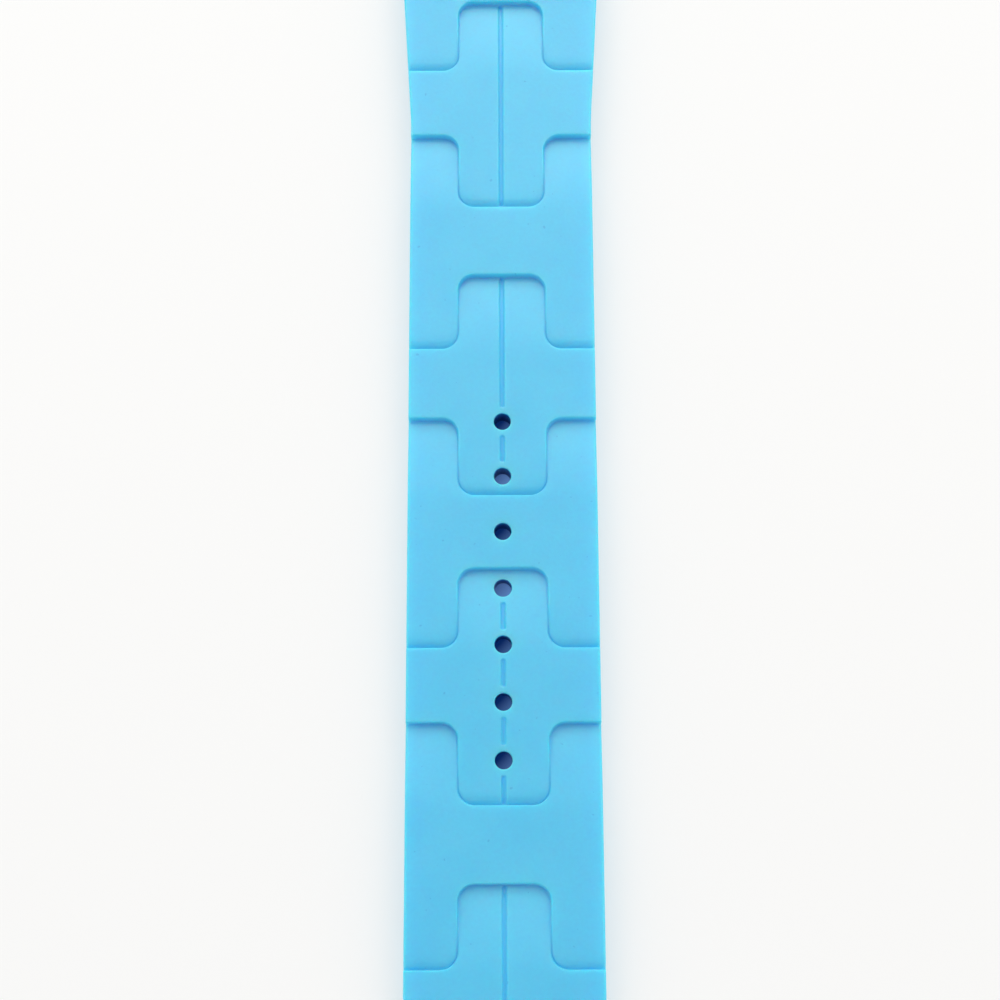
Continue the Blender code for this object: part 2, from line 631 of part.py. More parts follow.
def main():
    clear_scene()
    shop = Workshop()
    root = shop.empty("strap_root", (0.0, 0.0, TOP))
    halves = STRAP_THICKNESS + HALVES_GAP
    lean = lean_on_keeper()
    long_half = shop.empty("long_half", (0.0, 0.0, 0.0), (0.0, 0.0, math.pi), root)
    short_half = shop.empty("short_half", (0.0, halves, 0.0), (lean, 0.0, 0.0), root)
    axis_height = TOP + BUCKLE_AXIS * math.sin(lean)
    drop = hang_to_table(frame_side(), axis_height)
    buckle = shop.empty("buckle", (0.0, BUCKLE_AXIS, 0.0), (-drop - lean, 0.0, 0.0), short_half)

    build_long_half(shop, long_half)
    build_short_half(shop, short_half)
    build_keepers(shop, short_half)
    build_spring_bar(shop, "long_bar", LUG_WIDTH, root)
    build_spring_bar(shop, "short_bar", LUG_WIDTH, short_half)
    build_buckle(shop, buckle)
    centre_on_table(root, shop.parts.objects)

    bpy.context.view_layer.update()
    for axis in (long_half, short_half, buckle):
        x, y, z = axis.matrix_world.translation / MM
        print(f"{axis.name} bar axis at x {x:.4f}, y {y:.4f}, z {z:.4f} mm")
    print(f"buckle half leans {math.degrees(lean):.4f}, buckle drops {math.degrees(drop):.4f} degrees")


main()
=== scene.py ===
"""Looks of a two-piece silicone watch strap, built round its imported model.

Pieces are made in millimetres, in the frame of the bar that carries them: X across the strap, Y along it
away from the bar, Z up, with the bar at zero. Finished meshes are then moved to their place in metres.
"""
import json
import logging
import math
from dataclasses import dataclass
from enum import Enum
from typing import Iterable, Sequence

import bmesh
import bpy
import numpy as np
from mathutils import Matrix, Vector
from mathutils.geometry import delaunay_2d_cdt
from mathutils.kdtree import KDTree


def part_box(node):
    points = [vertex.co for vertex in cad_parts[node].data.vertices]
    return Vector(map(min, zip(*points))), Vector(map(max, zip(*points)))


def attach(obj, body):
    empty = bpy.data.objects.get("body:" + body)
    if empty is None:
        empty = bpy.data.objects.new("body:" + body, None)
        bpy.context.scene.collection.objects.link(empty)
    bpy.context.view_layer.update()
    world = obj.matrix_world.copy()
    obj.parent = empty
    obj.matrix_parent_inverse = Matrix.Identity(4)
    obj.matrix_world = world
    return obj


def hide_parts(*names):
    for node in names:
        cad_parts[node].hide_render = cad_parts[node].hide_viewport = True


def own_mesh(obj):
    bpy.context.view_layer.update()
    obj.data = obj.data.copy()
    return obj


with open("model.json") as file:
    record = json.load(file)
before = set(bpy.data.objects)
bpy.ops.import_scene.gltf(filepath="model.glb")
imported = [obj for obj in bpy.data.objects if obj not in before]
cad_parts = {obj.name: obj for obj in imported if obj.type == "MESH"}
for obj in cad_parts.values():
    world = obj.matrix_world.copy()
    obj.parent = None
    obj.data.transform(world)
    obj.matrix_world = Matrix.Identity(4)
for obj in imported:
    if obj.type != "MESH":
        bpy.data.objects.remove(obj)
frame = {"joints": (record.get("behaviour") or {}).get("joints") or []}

LOG = logging.getLogger("watch_strap")
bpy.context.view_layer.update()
MM = 0.001
TO_METRES = Matrix.Scale(MM, 4)
SHARP_ANGLE = math.radians(38.0)
WELD = 1e-4
ROUND_SIDES = 48
ARC_STEPS = 3
ARC_STEP_DEG = 9
LYING = Matrix.Rotation(math.pi / 2, 4, "Y")
BUCKLE_DROP = math.radians(-20.3052)
FIRST_HOLE = 63.55
HOLE_PITCH = 6.0
HOLE_COUNT = 7

Corner = tuple[float, float, float]
Place = tuple[float, float, float]
Rgb = tuple[float, float, float]
Ramp = tuple[float, float, float, float]
Colour = bpy.types.NodeSocket | Rgb


class Side(Enum):
    """Side of a spring bar that a pin stands out of, as its way along X."""

    LEFT = -1
    RIGHT = 1


class FarEnd(Enum):
    """What a strap half has at the end away from its lug bar."""

    TAIL = "tail"
    BUCKLE = "buckle"


class Grain(Enum):
    """Run of a steel piece's polishing lines, as the stretch of its noise along X, Y and Z."""

    ALONG_X = (0.04, 1.0, 1.0)
    ALONG_Y = (1.0, 0.04, 1.0)
    TURNED = (1.0, 0.15, 0.15)


class Field:
    """A number field of a node tree. Arithmetic on it adds math nodes."""

    def __init__(self, tree: bpy.types.NodeTree, socket: bpy.types.NodeSocket) -> None:
        """Wrap a socket of a tree."""
        self.tree = tree
        self.socket = socket

    def _join(self, operation: str, *others: "Field | float") -> "Field":
        """Add a math node on this field and others.

        Args:
            operation: Name of the math node's operation.
            others: Fields or numbers for the node's further inputs.

        Returns:
            The node's result.
        """
        node = self.tree.nodes.new("ShaderNodeMath")
        node.operation = operation
        for socket, value in zip(node.inputs, (self, *others)):
            if isinstance(value, Field):
                self.tree.links.new(value.socket, socket)
            else:
                socket.default_value = value
        return Field(self.tree, node.outputs[0])

    def __add__(self, other: "Field | float") -> "Field":
        """Sum of two fields."""
        return self._join("ADD", other)

    def __sub__(self, other: "Field | float") -> "Field":
        """Difference of two fields."""
        return self._join("SUBTRACT", other)

    def __mul__(self, other: "Field | float") -> "Field":
        """Product of two fields."""
        return self._join("MULTIPLY", other)

    def __truediv__(self, other: "Field | float") -> "Field":
        """Ratio of two fields."""
        return self._join("DIVIDE", other)

    def __neg__(self) -> "Field":
        """The field with its sign changed."""
        return self._join("MULTIPLY", -1.0)

    def __abs__(self) -> "Field":
        """The field without its sign."""
        return self._join("ABSOLUTE")

    def least(self, other: "Field | float") -> "Field":
        """Lesser of two fields."""
        return self._join("MINIMUM", other)

    def most(self, other: "Field | float") -> "Field":
        """Greater of two fields."""
        return self._join("MAXIMUM", other)

    def root(self) -> "Field":
        """Square root, zero for what is below zero."""
        return self.most(0.0)._join("SQRT")

    def power(self, exponent: "Field | float") -> "Field":
        """Field raised to a power."""
        return self._join("POWER", exponent)

    def rounded(self) -> "Field":
        """Nearest whole number."""
        return self._join("ROUND")

    def above(self, other: "Field | float") -> "Field":
        """One where this field is greater, zero elsewhere."""
        return self._join("GREATER_THAN", other)

    def share(self) -> "Field":
        """The field kept between zero and one."""
        return self.most(0.0).least(1.0)

    def towards(self, other: "Field", part: "Field") -> "Field":
        """This field where part is zero, the other where it is one."""
        return self + (other - self) * part

    def eased(self, start: "Field | float", end: "Field | float") -> "Field":
        """Smooth step between two values of the field.

        Args:
            start: Value at which the result is zero.
            end: Value at which the result is one.

        Returns:
            The eased field.
        """
        span = self._join("SUBTRACT", start)
        reach = end - start
        way = (span / reach).share()
        return way * way * (way * -2.0 + 3.0)


class Tree:
    """Geometry node tree with named inputs, ready to grow a mesh."""

    def __init__(self, name: str, inputs: dict[str, float], material: bpy.types.Material) -> None:
        """Start a tree.

        Args:
            name: Name of the tree.
            inputs: Named number inputs and their values.
            material: Finish that the tree sets on its result.
        """
        self.nodes_of = bpy.data.node_groups.new(name, "GeometryNodeTree")
        self.material = material
        self.values = {}
        face = self.nodes_of.interface
        face.new_socket("Geometry", in_out="INPUT", socket_type="NodeSocketGeometry")
        face.new_socket("Geometry", in_out="OUTPUT", socket_type="NodeSocketGeometry")
        for title, value in inputs.items():
            socket = face.new_socket(title, in_out="INPUT", socket_type="NodeSocketFloat")
            self.values[socket.identifier] = float(value)
        self.entry = self.node("NodeGroupInput")
        self.exit = self.node("NodeGroupOutput")

    def node(self, kind: str, **settings: object) -> bpy.types.Node:
        """Add a node.

        Args:
            kind: Type name of the node.
            settings: Properties of the node, by name.

        Returns:
            The new node.
        """
        node = self.nodes_of.nodes.new(kind)
        for key, value in settings.items():
            setattr(node, key, value)
        return node

    def link(self, start: bpy.types.NodeSocket, end: bpy.types.NodeSocket) -> None:
        """Join two sockets."""
        self.nodes_of.links.new(start, end)

    def given(self, title: str) -> Field:
        """The named input as a field."""
        return Field(self.nodes_of, self.entry.outputs[title])

    def stored(self, title: str) -> Field:
        """A number that the mesh stores on its points.

        Args:
            title: Name of the stored number.

        Returns:
            The number as a field.
        """
        node = self.node("GeometryNodeInputNamedAttribute", data_type="FLOAT")
        node.inputs["Name"].default_value = title
        return Field(self.nodes_of, node.outputs["Attribute"])

    def close(self, geometry: bpy.types.NodeSocket) -> None:
        """End the tree in Realize Instances and Set Material.

        Args:
            geometry: What the tree has made.
        """
        real = self.node("GeometryNodeRealizeInstances")
        dressed = self.node("GeometryNodeSetMaterial")
        dressed.inputs["Material"].default_value = self.material
        self.link(geometry, real.inputs["Geometry"])
        self.link(real.outputs["Geometry"], dressed.inputs["Geometry"])
        self.link(dressed.outputs["Geometry"], self.exit.inputs["Geometry"])

    def grow(self, mesh: bpy.types.Mesh) -> bpy.types.Mesh:
        """Run the tree on a mesh.

        Args:
            mesh: What goes into the tree.

        Returns:
            The plain mesh that comes out of it.
        """
        carrier = bpy.data.objects.new(mesh.name, mesh)
        bpy.context.scene.collection.objects.link(carrier)
        modifier = carrier.modifiers.new(self.nodes_of.name, "NODES")
        modifier.node_group = self.nodes_of
        for identifier, value in self.values.items():
            modifier[identifier] = value
        return settled(carrier)


def settled(carrier: bpy.types.Object) -> bpy.types.Mesh:
    """Plain mesh of an object with its modifiers applied; the object is removed.

    Args:
        carrier: Object whose evaluated shape is wanted.

    Returns:
        A mesh of its own, with no modifiers.
    """
    seen = carrier.evaluated_get(bpy.context.evaluated_depsgraph_get())
    mesh = bpy.data.meshes.new_from_object(seen)
    bpy.data.objects.remove(carrier, do_unlink=True)
    return mesh


def piece_of(name: str, mesh: bpy.types.Mesh, material: bpy.types.Material) -> bpy.types.Object:
    """Object at the origin that shows a mesh in one finish.

    Args:
        name: Name of the object and its mesh.
        mesh: Finished mesh, in metres.
        material: Its finish.

    Returns:
        The object, in the scene.
    """
    mesh.name = name
    mesh.materials.clear()
    mesh.materials.append(material)
    piece = bpy.data.objects.new(name, mesh)
    bpy.context.scene.collection.objects.link(piece)
    return piece


def hand_over(piece: bpy.types.Object, body: str, slot: str, *nodes: str) -> None:
    """Tell the frame which body carries a piece, and which nodes it stands for.

    Args:
        piece: Finished piece.
        body: Body that it moves with.
        slot: Material slot of the record; not used.
        nodes: Solids that it replaces.
    """
    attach(piece, body)
    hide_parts(*nodes)
    LOG.info("%s: %d faces on %s", piece.name, len(piece.data.polygons), body)


def mesh_from(name: str, points: Sequence, faces: Sequence) -> bpy.types.Mesh:
    """Mesh of points and faces.

    Args:
        name: Name of the mesh.
        points: Places of the points.
        faces: Numbers of the points of each face.

    Returns:
        The mesh.
    """
    mesh = bpy.data.meshes.new(name)
    mesh.from_pydata([tuple(point) for point in points], [], [tuple(face) for face in faces])
    return mesh


def clean(mesh: bpy.types.Mesh) -> None:
    """Merge doubles, turn faces outwards, and shade smooth up to the sharp angle.

    Args:
        mesh: Mesh to clean, in millimetres.
    """
    shape = bmesh.new()
    shape.from_mesh(mesh)
    bmesh.ops.remove_doubles(shape, verts=shape.verts, dist=WELD)
    bmesh.ops.dissolve_degenerate(shape, dist=WELD, edges=shape.edges)
    bmesh.ops.recalc_face_normals(shape, faces=shape.faces)
    for face in shape.faces:
        face.smooth = True
    for edge in shape.edges:
        edge.smooth = len(edge.link_faces) == 2 and edge.calc_face_angle() < SHARP_ANGLE
    shape.to_mesh(mesh)
    shape.free()


def cut(mesh: bpy.types.Mesh, tools: Iterable[bpy.types.Mesh],
        operation: str = "DIFFERENCE") -> bpy.types.Mesh:
    """Boolean of a mesh with each of several tools.

    Args:
        mesh: Mesh to change.
        tools: Closed meshes, in the same frame.
        operation: Name of the Boolean operation.

    Returns:
        The changed mesh.
    """
    carrier = bpy.data.objects.new(mesh.name, mesh)
    bpy.context.scene.collection.objects.link(carrier)
    helpers = []
    for tool in tools:
        helper = bpy.data.objects.new(tool.name, tool)
        bpy.context.scene.collection.objects.link(helper)
        change = carrier.modifiers.new(tool.name, "BOOLEAN")
        change.operation = operation
        change.object = helper
        helpers.append(helper)
    result = settled(carrier)
    for helper in helpers:
        bpy.data.objects.remove(helper, do_unlink=True)
    return result


def rounded_loop(corners: Sequence[Corner], step: float) -> np.ndarray:
    """Closed outline through corners, each with its arc.

    Args:
        corners: Places and radii of the corners.
        step: Longest piece of an arc or a straight run.

    Returns:
        Points along the outline.
    """
    arcs = []
    for index, (x, y, radius) in enumerate(corners):
        corner = Vector((x, y))
        back = (Vector(corners[index - 1][:2]) - corner).normalized()
        ahead = (Vector(corners[(index + 1) % len(corners)][:2]) - corner).normalized()
        if radius <= 0:
            arcs.append([corner])
            continue
        half = back.angle(ahead) / 2
        centre = corner + (back + ahead).normalized() * (radius / math.sin(half))
        start = corner + back * (radius / math.tan(half)) - centre
        sweep = math.pi - 2 * half
        turn = -sweep if back.x * ahead.y - back.y * ahead.x > 0 else sweep
        count = max(ARC_STEPS, math.ceil(radius * sweep / step),
                    math.ceil(math.degrees(sweep) / ARC_STEP_DEG))
        arcs.append([centre + Matrix.Rotation(turn * i / count, 2) @ start for i in range(count + 1)])
    points = []
    for index, arc in enumerate(arcs):
        points += arc
        gap = arcs[(index + 1) % len(arcs)][0] - arc[-1]
        count = math.ceil(gap.length / step)
        points += [arc[-1] + gap * (i / count) for i in range(1, count)]
    return np.array([(point.x, point.y) for point in points])


def ring(x: float, y: float, radius: float, sides: int = ROUND_SIDES) -> np.ndarray:
    """Circle of points."""
    turns = np.arange(sides) * (2 * math.pi / sides)
    return np.column_stack((x + radius * np.cos(turns), y + radius * np.sin(turns)))


def inset(loop: np.ndarray, depth: float) -> np.ndarray:
    """Loop moved inwards.

    Args:
        loop: Points that run anticlockwise.
        depth: How far they move.

    Returns:
        The moved points.
    """
    along = np.roll(loop, -1, 0) - np.roll(loop, 1, 0)
    along /= np.linalg.norm(along, axis=1)[:, None]
    return loop + depth * np.column_stack((-along[:, 1], along[:, 0]))


def inside(points: np.ndarray, loop: np.ndarray) -> np.ndarray:
    """Which points lie inside a loop.

    Args:
        points: Places to test.
        loop: Closed line round the inside.

    Returns:
        True for each point that lies inside.
    """
    found = np.zeros(len(points), bool)
    for (x1, y1), (x2, y2) in zip(loop, np.roll(loop, -1, 0)):
        crosses = (y1 > points[:, 1]) != (y2 > points[:, 1])
        with np.errstate(divide="ignore", invalid="ignore"):
            at = x1 + (points[:, 1] - y1) * (x2 - x1) / (y2 - y1)
        found ^= crosses & (points[:, 0] < at)
    return found


def distance_to(points: np.ndarray, starts: np.ndarray, ends: np.ndarray) -> np.ndarray:
    """Distance of each point from the nearest of several straight runs.

    Args:
        points: Places to measure from.
        starts: First ends of the runs.
        ends: Second ends of the runs.

    Returns:
        One distance for each point.
    """
    nearest = np.full(len(points), np.inf)
    for start, end in zip(starts, ends):
        run = end - start
        share = np.clip((points - start) @ run / (run @ run), 0.0, 1.0)
        nearest = np.minimum(nearest, np.linalg.norm(points - start - share[:, None] * run, axis=1))
    return nearest


def round_bar(name: str, radius: float, length: float, turn: Matrix,
              sides: int = ROUND_SIDES) -> bpy.types.Mesh:
    """Closed round bar.

    Args:
        name: Name of the mesh.
        radius: Radius of the bar.
        length: Length of the bar.
        turn: Turn and move from a bar along Z about the origin.
        sides: Number of flat sides.

    Returns:
        Mesh of the bar in its place.
    """
    shape = bmesh.new()
    bmesh.ops.create_cone(shape, cap_ends=True, segments=sides, radius1=radius, radius2=radius,
                          depth=length)
    mesh = bpy.data.meshes.new(name)
    shape.to_mesh(mesh)
    shape.free()
    mesh.transform(turn)
    return mesh


def lathe(name: str, profile: Sequence[tuple[float, float]], sides: int) -> bpy.types.Mesh:
    """Mesh turned about X.

    Args:
        name: Name of the mesh.
        profile: Closed section, as places along X and radii.
        sides: Number of flat sides.

    Returns:
        The turned mesh.
    """
    points, faces = [], []
    count = len(profile)
    for side in range(sides):
        turn = 2 * math.pi * side / sides
        for along, radius in profile:
            points.append((along, radius * math.cos(turn), radius * math.sin(turn)))
        here, after = side * count, (side + 1) % sides * count
        for index in range(count):
            ahead = (index + 1) % count
            faces.append((here + index, here + ahead, after + ahead, after + index))
    return mesh_from(name, points, faces)


def prism(name: str, loop: np.ndarray, low: float, high: float) -> bpy.types.Mesh:
    """Closed upright prism.

    Args:
        name: Name of the mesh.
        loop: Anticlockwise outline.
        low: Height of the underside.
        high: Height of the top.

    Returns:
        Mesh of the prism.
    """
    count = len(loop)
    points = [(x, y, low) for x, y in loop] + [(x, y, high) for x, y in loop]
    faces = [(i, (i + 1) % count, count + (i + 1) % count, count + i) for i in range(count)]
    faces += [tuple(range(count - 1, -1, -1)), tuple(range(count, 2 * count))]
    return mesh_from(name, points, faces)


class Shader:
    """Procedural material on Object coordinates, built node by node."""

    def __init__(self, name: str) -> None:
        """Start a material with one Principled shader.

        Args:
            name: Name of the material.
        """
        self.material = bpy.data.materials.new(name)
        self.material.use_nodes = True
        self.tree = self.material.node_tree
        self.surface = self.tree.nodes["Principled BSDF"]
        self.place = self.node("ShaderNodeTexCoord").outputs["Object"]

    def node(self, kind: str, **settings: object) -> bpy.types.Node:
        """Add a node.

        Args:
            kind: Type name of the node.
            settings: Properties of the node, by name.

        Returns:
            The new node.
        """
        node = self.tree.nodes.new(kind)
        for key, value in settings.items():
            setattr(node, key, value)
        return node

    def set(self, **values: object) -> None:
        """Set values of the Principled shader, named with underscores for spaces."""
        for key, value in values.items():
            self.surface.inputs[key.replace("_", " ")].default_value = value

    def feed(self, socket: str, source: bpy.types.NodeSocket) -> None:
        """Link a result to an input of the Principled shader."""
        self.tree.links.new(source, self.surface.inputs[socket])

    def noise(self, scale: float, detail: float,
              stretch: Sequence[float] = (1, 1, 1)) -> bpy.types.NodeSocket:
        """Noise on Object coordinates.

        Args:
            scale: Number of spots in a metre.
            detail: Number of finer layers.
            stretch: Factors on the coordinates along X, Y and Z.

        Returns:
            The noise as a value.
        """
        mapping = self.node("ShaderNodeMapping")
        mapping.inputs["Scale"].default_value = stretch
        self.tree.links.new(self.place, mapping.inputs["Vector"])
        noise = self.node("ShaderNodeTexNoise")
        noise.inputs["Scale"].default_value = scale
        noise.inputs["Detail"].default_value = detail
        self.tree.links.new(mapping.outputs["Vector"], noise.inputs["Vector"])
        return noise.outputs["Fac"]

    def ramp(self, source: bpy.types.NodeSocket, low: float, high: float,
             low_to: float, high_to: float) -> bpy.types.NodeSocket:
        """Map a range of a value to another range.

        Args:
            source: The value.
            low: Start of its range.
            high: End of its range.
            low_to: Result at the start.
            high_to: Result at the end.

        Returns:
            The mapped value.
        """
        node = self.node("ShaderNodeMapRange")
        self.tree.links.new(source, node.inputs["Value"])
        limits = {"From Min": low, "From Max": high, "To Min": low_to, "To Max": high_to}
        for title, value in limits.items():
            node.inputs[title].default_value = value
        return node.outputs["Result"]

    def blend(self, part: bpy.types.NodeSocket, low: Colour, high: Colour) -> bpy.types.NodeSocket:
        """Mix of two colours, either of which may be a result.

        Args:
            part: Share of the second colour.
            low: First colour.
            high: Second colour.

        Returns:
            The mixed colour.
        """
        node = self.node("ShaderNodeMix", data_type="RGBA")
        self.tree.links.new(part, node.inputs["Factor"])
        colours = [socket for socket in node.inputs if socket.type == "RGBA"]
        for socket, colour in zip(colours, (low, high)):
            if isinstance(colour, bpy.types.NodeSocket):
                self.tree.links.new(colour, socket)
            else:
                socket.default_value = (*colour, 1.0)
        return next(socket for socket in node.outputs if socket.type == "RGBA")

    def bump(self, heights: Iterable[tuple[bpy.types.NodeSocket, float]], depth: float) -> None:
        """Stack bumps and feed them to the shader.

        Args:
            heights: Height values, each with its strength.
            depth: Distance in metres that a height of one stands for.
        """
        normal = None
        for height, strength in heights:
            node = self.node("ShaderNodeBump")
            node.inputs["Strength"].default_value = strength
            node.inputs["Distance"].default_value = depth
            self.tree.links.new(height, node.inputs["Height"])
            if normal is not None:
                self.tree.links.new(normal, node.inputs["Normal"])
            normal = node.outputs["Normal"]
        self.feed("Normal", normal)


@dataclass(frozen=True)
class SiliconeFinish:
    """Matte moulded silicone: fine grain, faint clouds, rare specks, light that goes a little way in, and
    painted shade down the holes' walls, in the groove and along the seams.
    """

    colour: Rgb = (0.093, 0.584, 0.845)
    pale: Rgb = (0.104, 0.603, 0.857)
    speck: Rgb = (0.045, 0.330, 0.640)
    # painted shade: darker blue blended in down the holes' walls and along the seams
    painted_hole_and_seam_shade: Rgb = (0.012, 0.170, 0.480)
    # painted shade: blended in on the groove floor and along the seams
    painted_groove_and_seam_shade: Rgb = (0.045, 0.565, 0.880)
    clouds: float = 160.0
    grain: float = 2600.0
    pores: float = 9000.0
    specks: float = 2200.0
    cloud_ramp: Ramp = (0.35, 0.65, 0.0, 1.0)
    grain_ramp: Ramp = (0.3, 0.75, 0.12, 0.0)
    speck_ramp: Ramp = (0.86, 0.89, 0.0, 0.5)
    roughness_ramp: Ramp = (0.3, 0.7, 0.45, 0.57)
    grain_bump: float = 0.22
    pore_bump: float = 0.10
    depth: float = 0.00004
    scatter: float = 1.0
    scatter_radius: Rgb = (0.05, 0.80, 1.05)
    scatter_scale: float = 0.0024
    ior: float = 1.45
    specular: float = 1.0

    # names of the stored shares of painted shade
    PAINTED_HOLE_AND_SEAM_SHADE = "down_the_hole"
    PAINTED_GROOVE_AND_SEAM_SHADE = "in_the_groove"

    def material(self) -> bpy.types.Material:
        """Build the material.

        Returns:
            The finished material.
        """
        shader = Shader("moulded_silicone")
        cloud = shader.ramp(shader.noise(self.clouds, detail=2.0), *self.cloud_ramp)
        grain = shader.noise(self.grain, detail=3.0)
        colour = shader.blend(cloud, self.colour, self.pale)
        fine = shader.ramp(grain, *self.grain_ramp)
        colour = shader.blend(fine, colour, self.speck)
        dots = shader.ramp(shader.noise(self.specks, detail=0.0), *self.speck_ramp)
        colour = shader.blend(dots, colour, self.speck)
        # painted shade on the groove floor, down the holes' walls and along the seams
        for store, shade in ((self.PAINTED_GROOVE_AND_SEAM_SHADE, self.painted_groove_and_seam_shade), (self.PAINTED_HOLE_AND_SEAM_SHADE, self.painted_hole_and_seam_shade)):
            painted_share = shader.node("ShaderNodeAttribute", attribute_name=store)
            colour = shader.blend(painted_share.outputs["Fac"], colour, shade)
        shader.feed("Base Color", colour)
        shader.feed("Roughness", shader.ramp(grain, *self.roughness_ramp))
        pores = shader.noise(self.pores, detail=1.0)
        shader.bump([(grain, self.grain_bump), (pores, self.pore_bump)], self.depth)
        shader.set(Subsurface_Weight=self.scatter, Subsurface_Radius=self.scatter_radius,
                   Subsurface_Scale=self.scatter_scale, IOR=self.ior, Specular_IOR_Level=self.specular)
        return shader.material


@dataclass(frozen=True)
class SteelFinish:
    """Stainless steel with fine polishing lines along one way."""

    name: str
    grain: Grain
    colour: Rgb = (0.60, 0.60, 0.61)
    dark: Rgb = (0.47, 0.47, 0.49)
    roughness: float = 0.24
    lines: float = 9000.0
    wear: float = 420.0
    line_ramp: Ramp = (0.3, 0.8, 0.6, 0.0)
    wear_range: tuple[float, float] = (0.3, 0.75)
    roughness_spread: tuple[float, float] = (-0.05, 0.12)
    line_bump: float = 0.25
    depth: float = 0.00001

    def material(self) -> bpy.types.Material:
        """Build the material.

        Returns:
            The finished material.
        """
        shader = Shader(self.name)
        lines = shader.noise(self.lines, detail=3.0, stretch=self.grain.value)
        wear = shader.noise(self.wear, detail=4.0)
        lined = shader.ramp(lines, *self.line_ramp)
        shader.feed("Base Color", shader.blend(lined, self.colour, self.dark))
        smooth, worn = (self.roughness + spread for spread in self.roughness_spread)
        shader.feed("Roughness", shader.ramp(wear, *self.wear_range, smooth, worn))
        shader.bump([(lines, self.line_bump)], self.depth)
        shader.set(Metallic=1.0)
        return shader.material


@dataclass(frozen=True)
class TableFinish:
    """Plain white table top, with painted deep blue shade and painted light under the holes of the strap.
    Lengths are in metres.
    """

    colour: Rgb = (0.910, 0.910, 0.905)
    shade: Rgb = (0.900, 0.900, 0.895)
    # painted blue shade: base colour of the table under the strap
    under: Rgb = (0.36, 0.34, 0.84)
    # painted shadow and painted light under the holes: darkest under one hole, lighter to one side of each
    # hole and under the two holes beside it
    painted_hole_shadow: Rgb = (0.002, 0.018, 0.105)
    painted_hole_light: Rgb = (0.135, 0.275, 0.600)
    darkest_painted_hole: float = -0.05748
    hole_pitch: float = HOLE_PITCH * MM
    hole_level: float = 0.14
    hole_step: float = 0.40
    hole_slope: float = 1.15
    glow: Rgb = (0.97, 0.97, 0.97)
    clouds: float = 30.0
    roughness: float = 0.7
    specular: float = 0.1
    own_light: float = 0.4
    lit_within: float = 0.14
    plain_beyond: float = 0.5
    shade_low: tuple[float, float] = (-0.006, -0.088)
    shade_high: tuple[float, float] = (0.006, -0.040)
    shade_edge: float = 0.002

    def painted_hole_light_and_shade(self, shader: Shader, across: Field, along: Field) -> bpy.types.NodeSocket:
        """Painted shadow and painted light on the table under the strap's holes.

        Args:
            shader: Material that the nodes go into.
            across: Place across the strap.
            along: Place along the strap.

        Returns:
            A painted blue shade that is lighter to one side of each hole, and painted light under the two
            holes next to the dark one.
        """
        turns = (along - self.darkest_painted_hole) / self.hole_pitch
        nearest = turns.rounded()
        beside = (-abs(abs(nearest) - 1.0) + 1.0).share()
        slope = across / self.hole_pitch - turns + nearest
        lit = (beside * self.hole_step + slope * self.hole_slope + self.hole_level).share()
        return shader.blend(lit.socket, self.painted_hole_shadow, self.painted_hole_light)

    def material(self) -> bpy.types.Material:
        """Build the material, part of whose white is its own where a picture shows it.

        Under the strap none of it is white: a picture shows the painted shadow and painted light of the
        holes there.

        Returns:
            The finished material.
        """
        shader = Shader("white_table")
        shader.set(Roughness=self.roughness, Specular_IOR_Level=self.specular)
        path = shader.node("ShaderNodeLightPath")
        seen = Field(shader.tree, path.outputs["Is Camera Ray"])
        for kind in ("Is Glossy Ray", "Is Transmission Ray"):
            seen = seen.most(Field(shader.tree, path.outputs[kind]))
        parts = shader.node("ShaderNodeSeparateXYZ")
        shader.tree.links.new(shader.place, parts.inputs["Vector"])
        across, along, outside = (Field(shader.tree, parts.outputs[axis]) for axis in "XYZ")
        # patch under the strap that takes the painted shade and painted light
        for way, low, high in zip((across, along), self.shade_low, self.shade_high):
            outside = outside.most((-way + low).most(way - high))
        open_top = (outside / self.shade_edge).share()
        covered = -open_top + 1.0
        reach = (across * across + along * along).root()
        far = reach.eased(self.lit_within, self.plain_beyond)
        own = far * (1.0 - self.own_light) + self.own_light
        seen = seen * (open_top * own + covered)
        white = shader.blend(shader.noise(self.clouds, detail=2.0), self.colour, self.shade)
        # painted blue shade as base colour under the strap
        shader.feed("Base Color", shader.blend(covered.socket, white, self.under))
        # camera rays see the painted hole shadow and light under the strap, as emission; white glow
        # elsewhere
        glow = shader.node("ShaderNodeEmission")
        hole = self.painted_hole_light_and_shade(shader, across, along)
        shader.tree.links.new(shader.blend(covered.socket, self.glow, hole), glow.inputs["Color"])
        mix = shader.node("ShaderNodeMixShader")
        shader.tree.links.new(seen.socket, mix.inputs["Fac"])
        shader.tree.links.new(shader.surface.outputs["BSDF"], mix.inputs[1])
        shader.tree.links.new(glow.outputs["Emission"], mix.inputs[2])
        output = shader.tree.nodes["Material Output"]
        shader.tree.links.new(mix.outputs["Shader"], output.inputs["Surface"])
        return shader.material


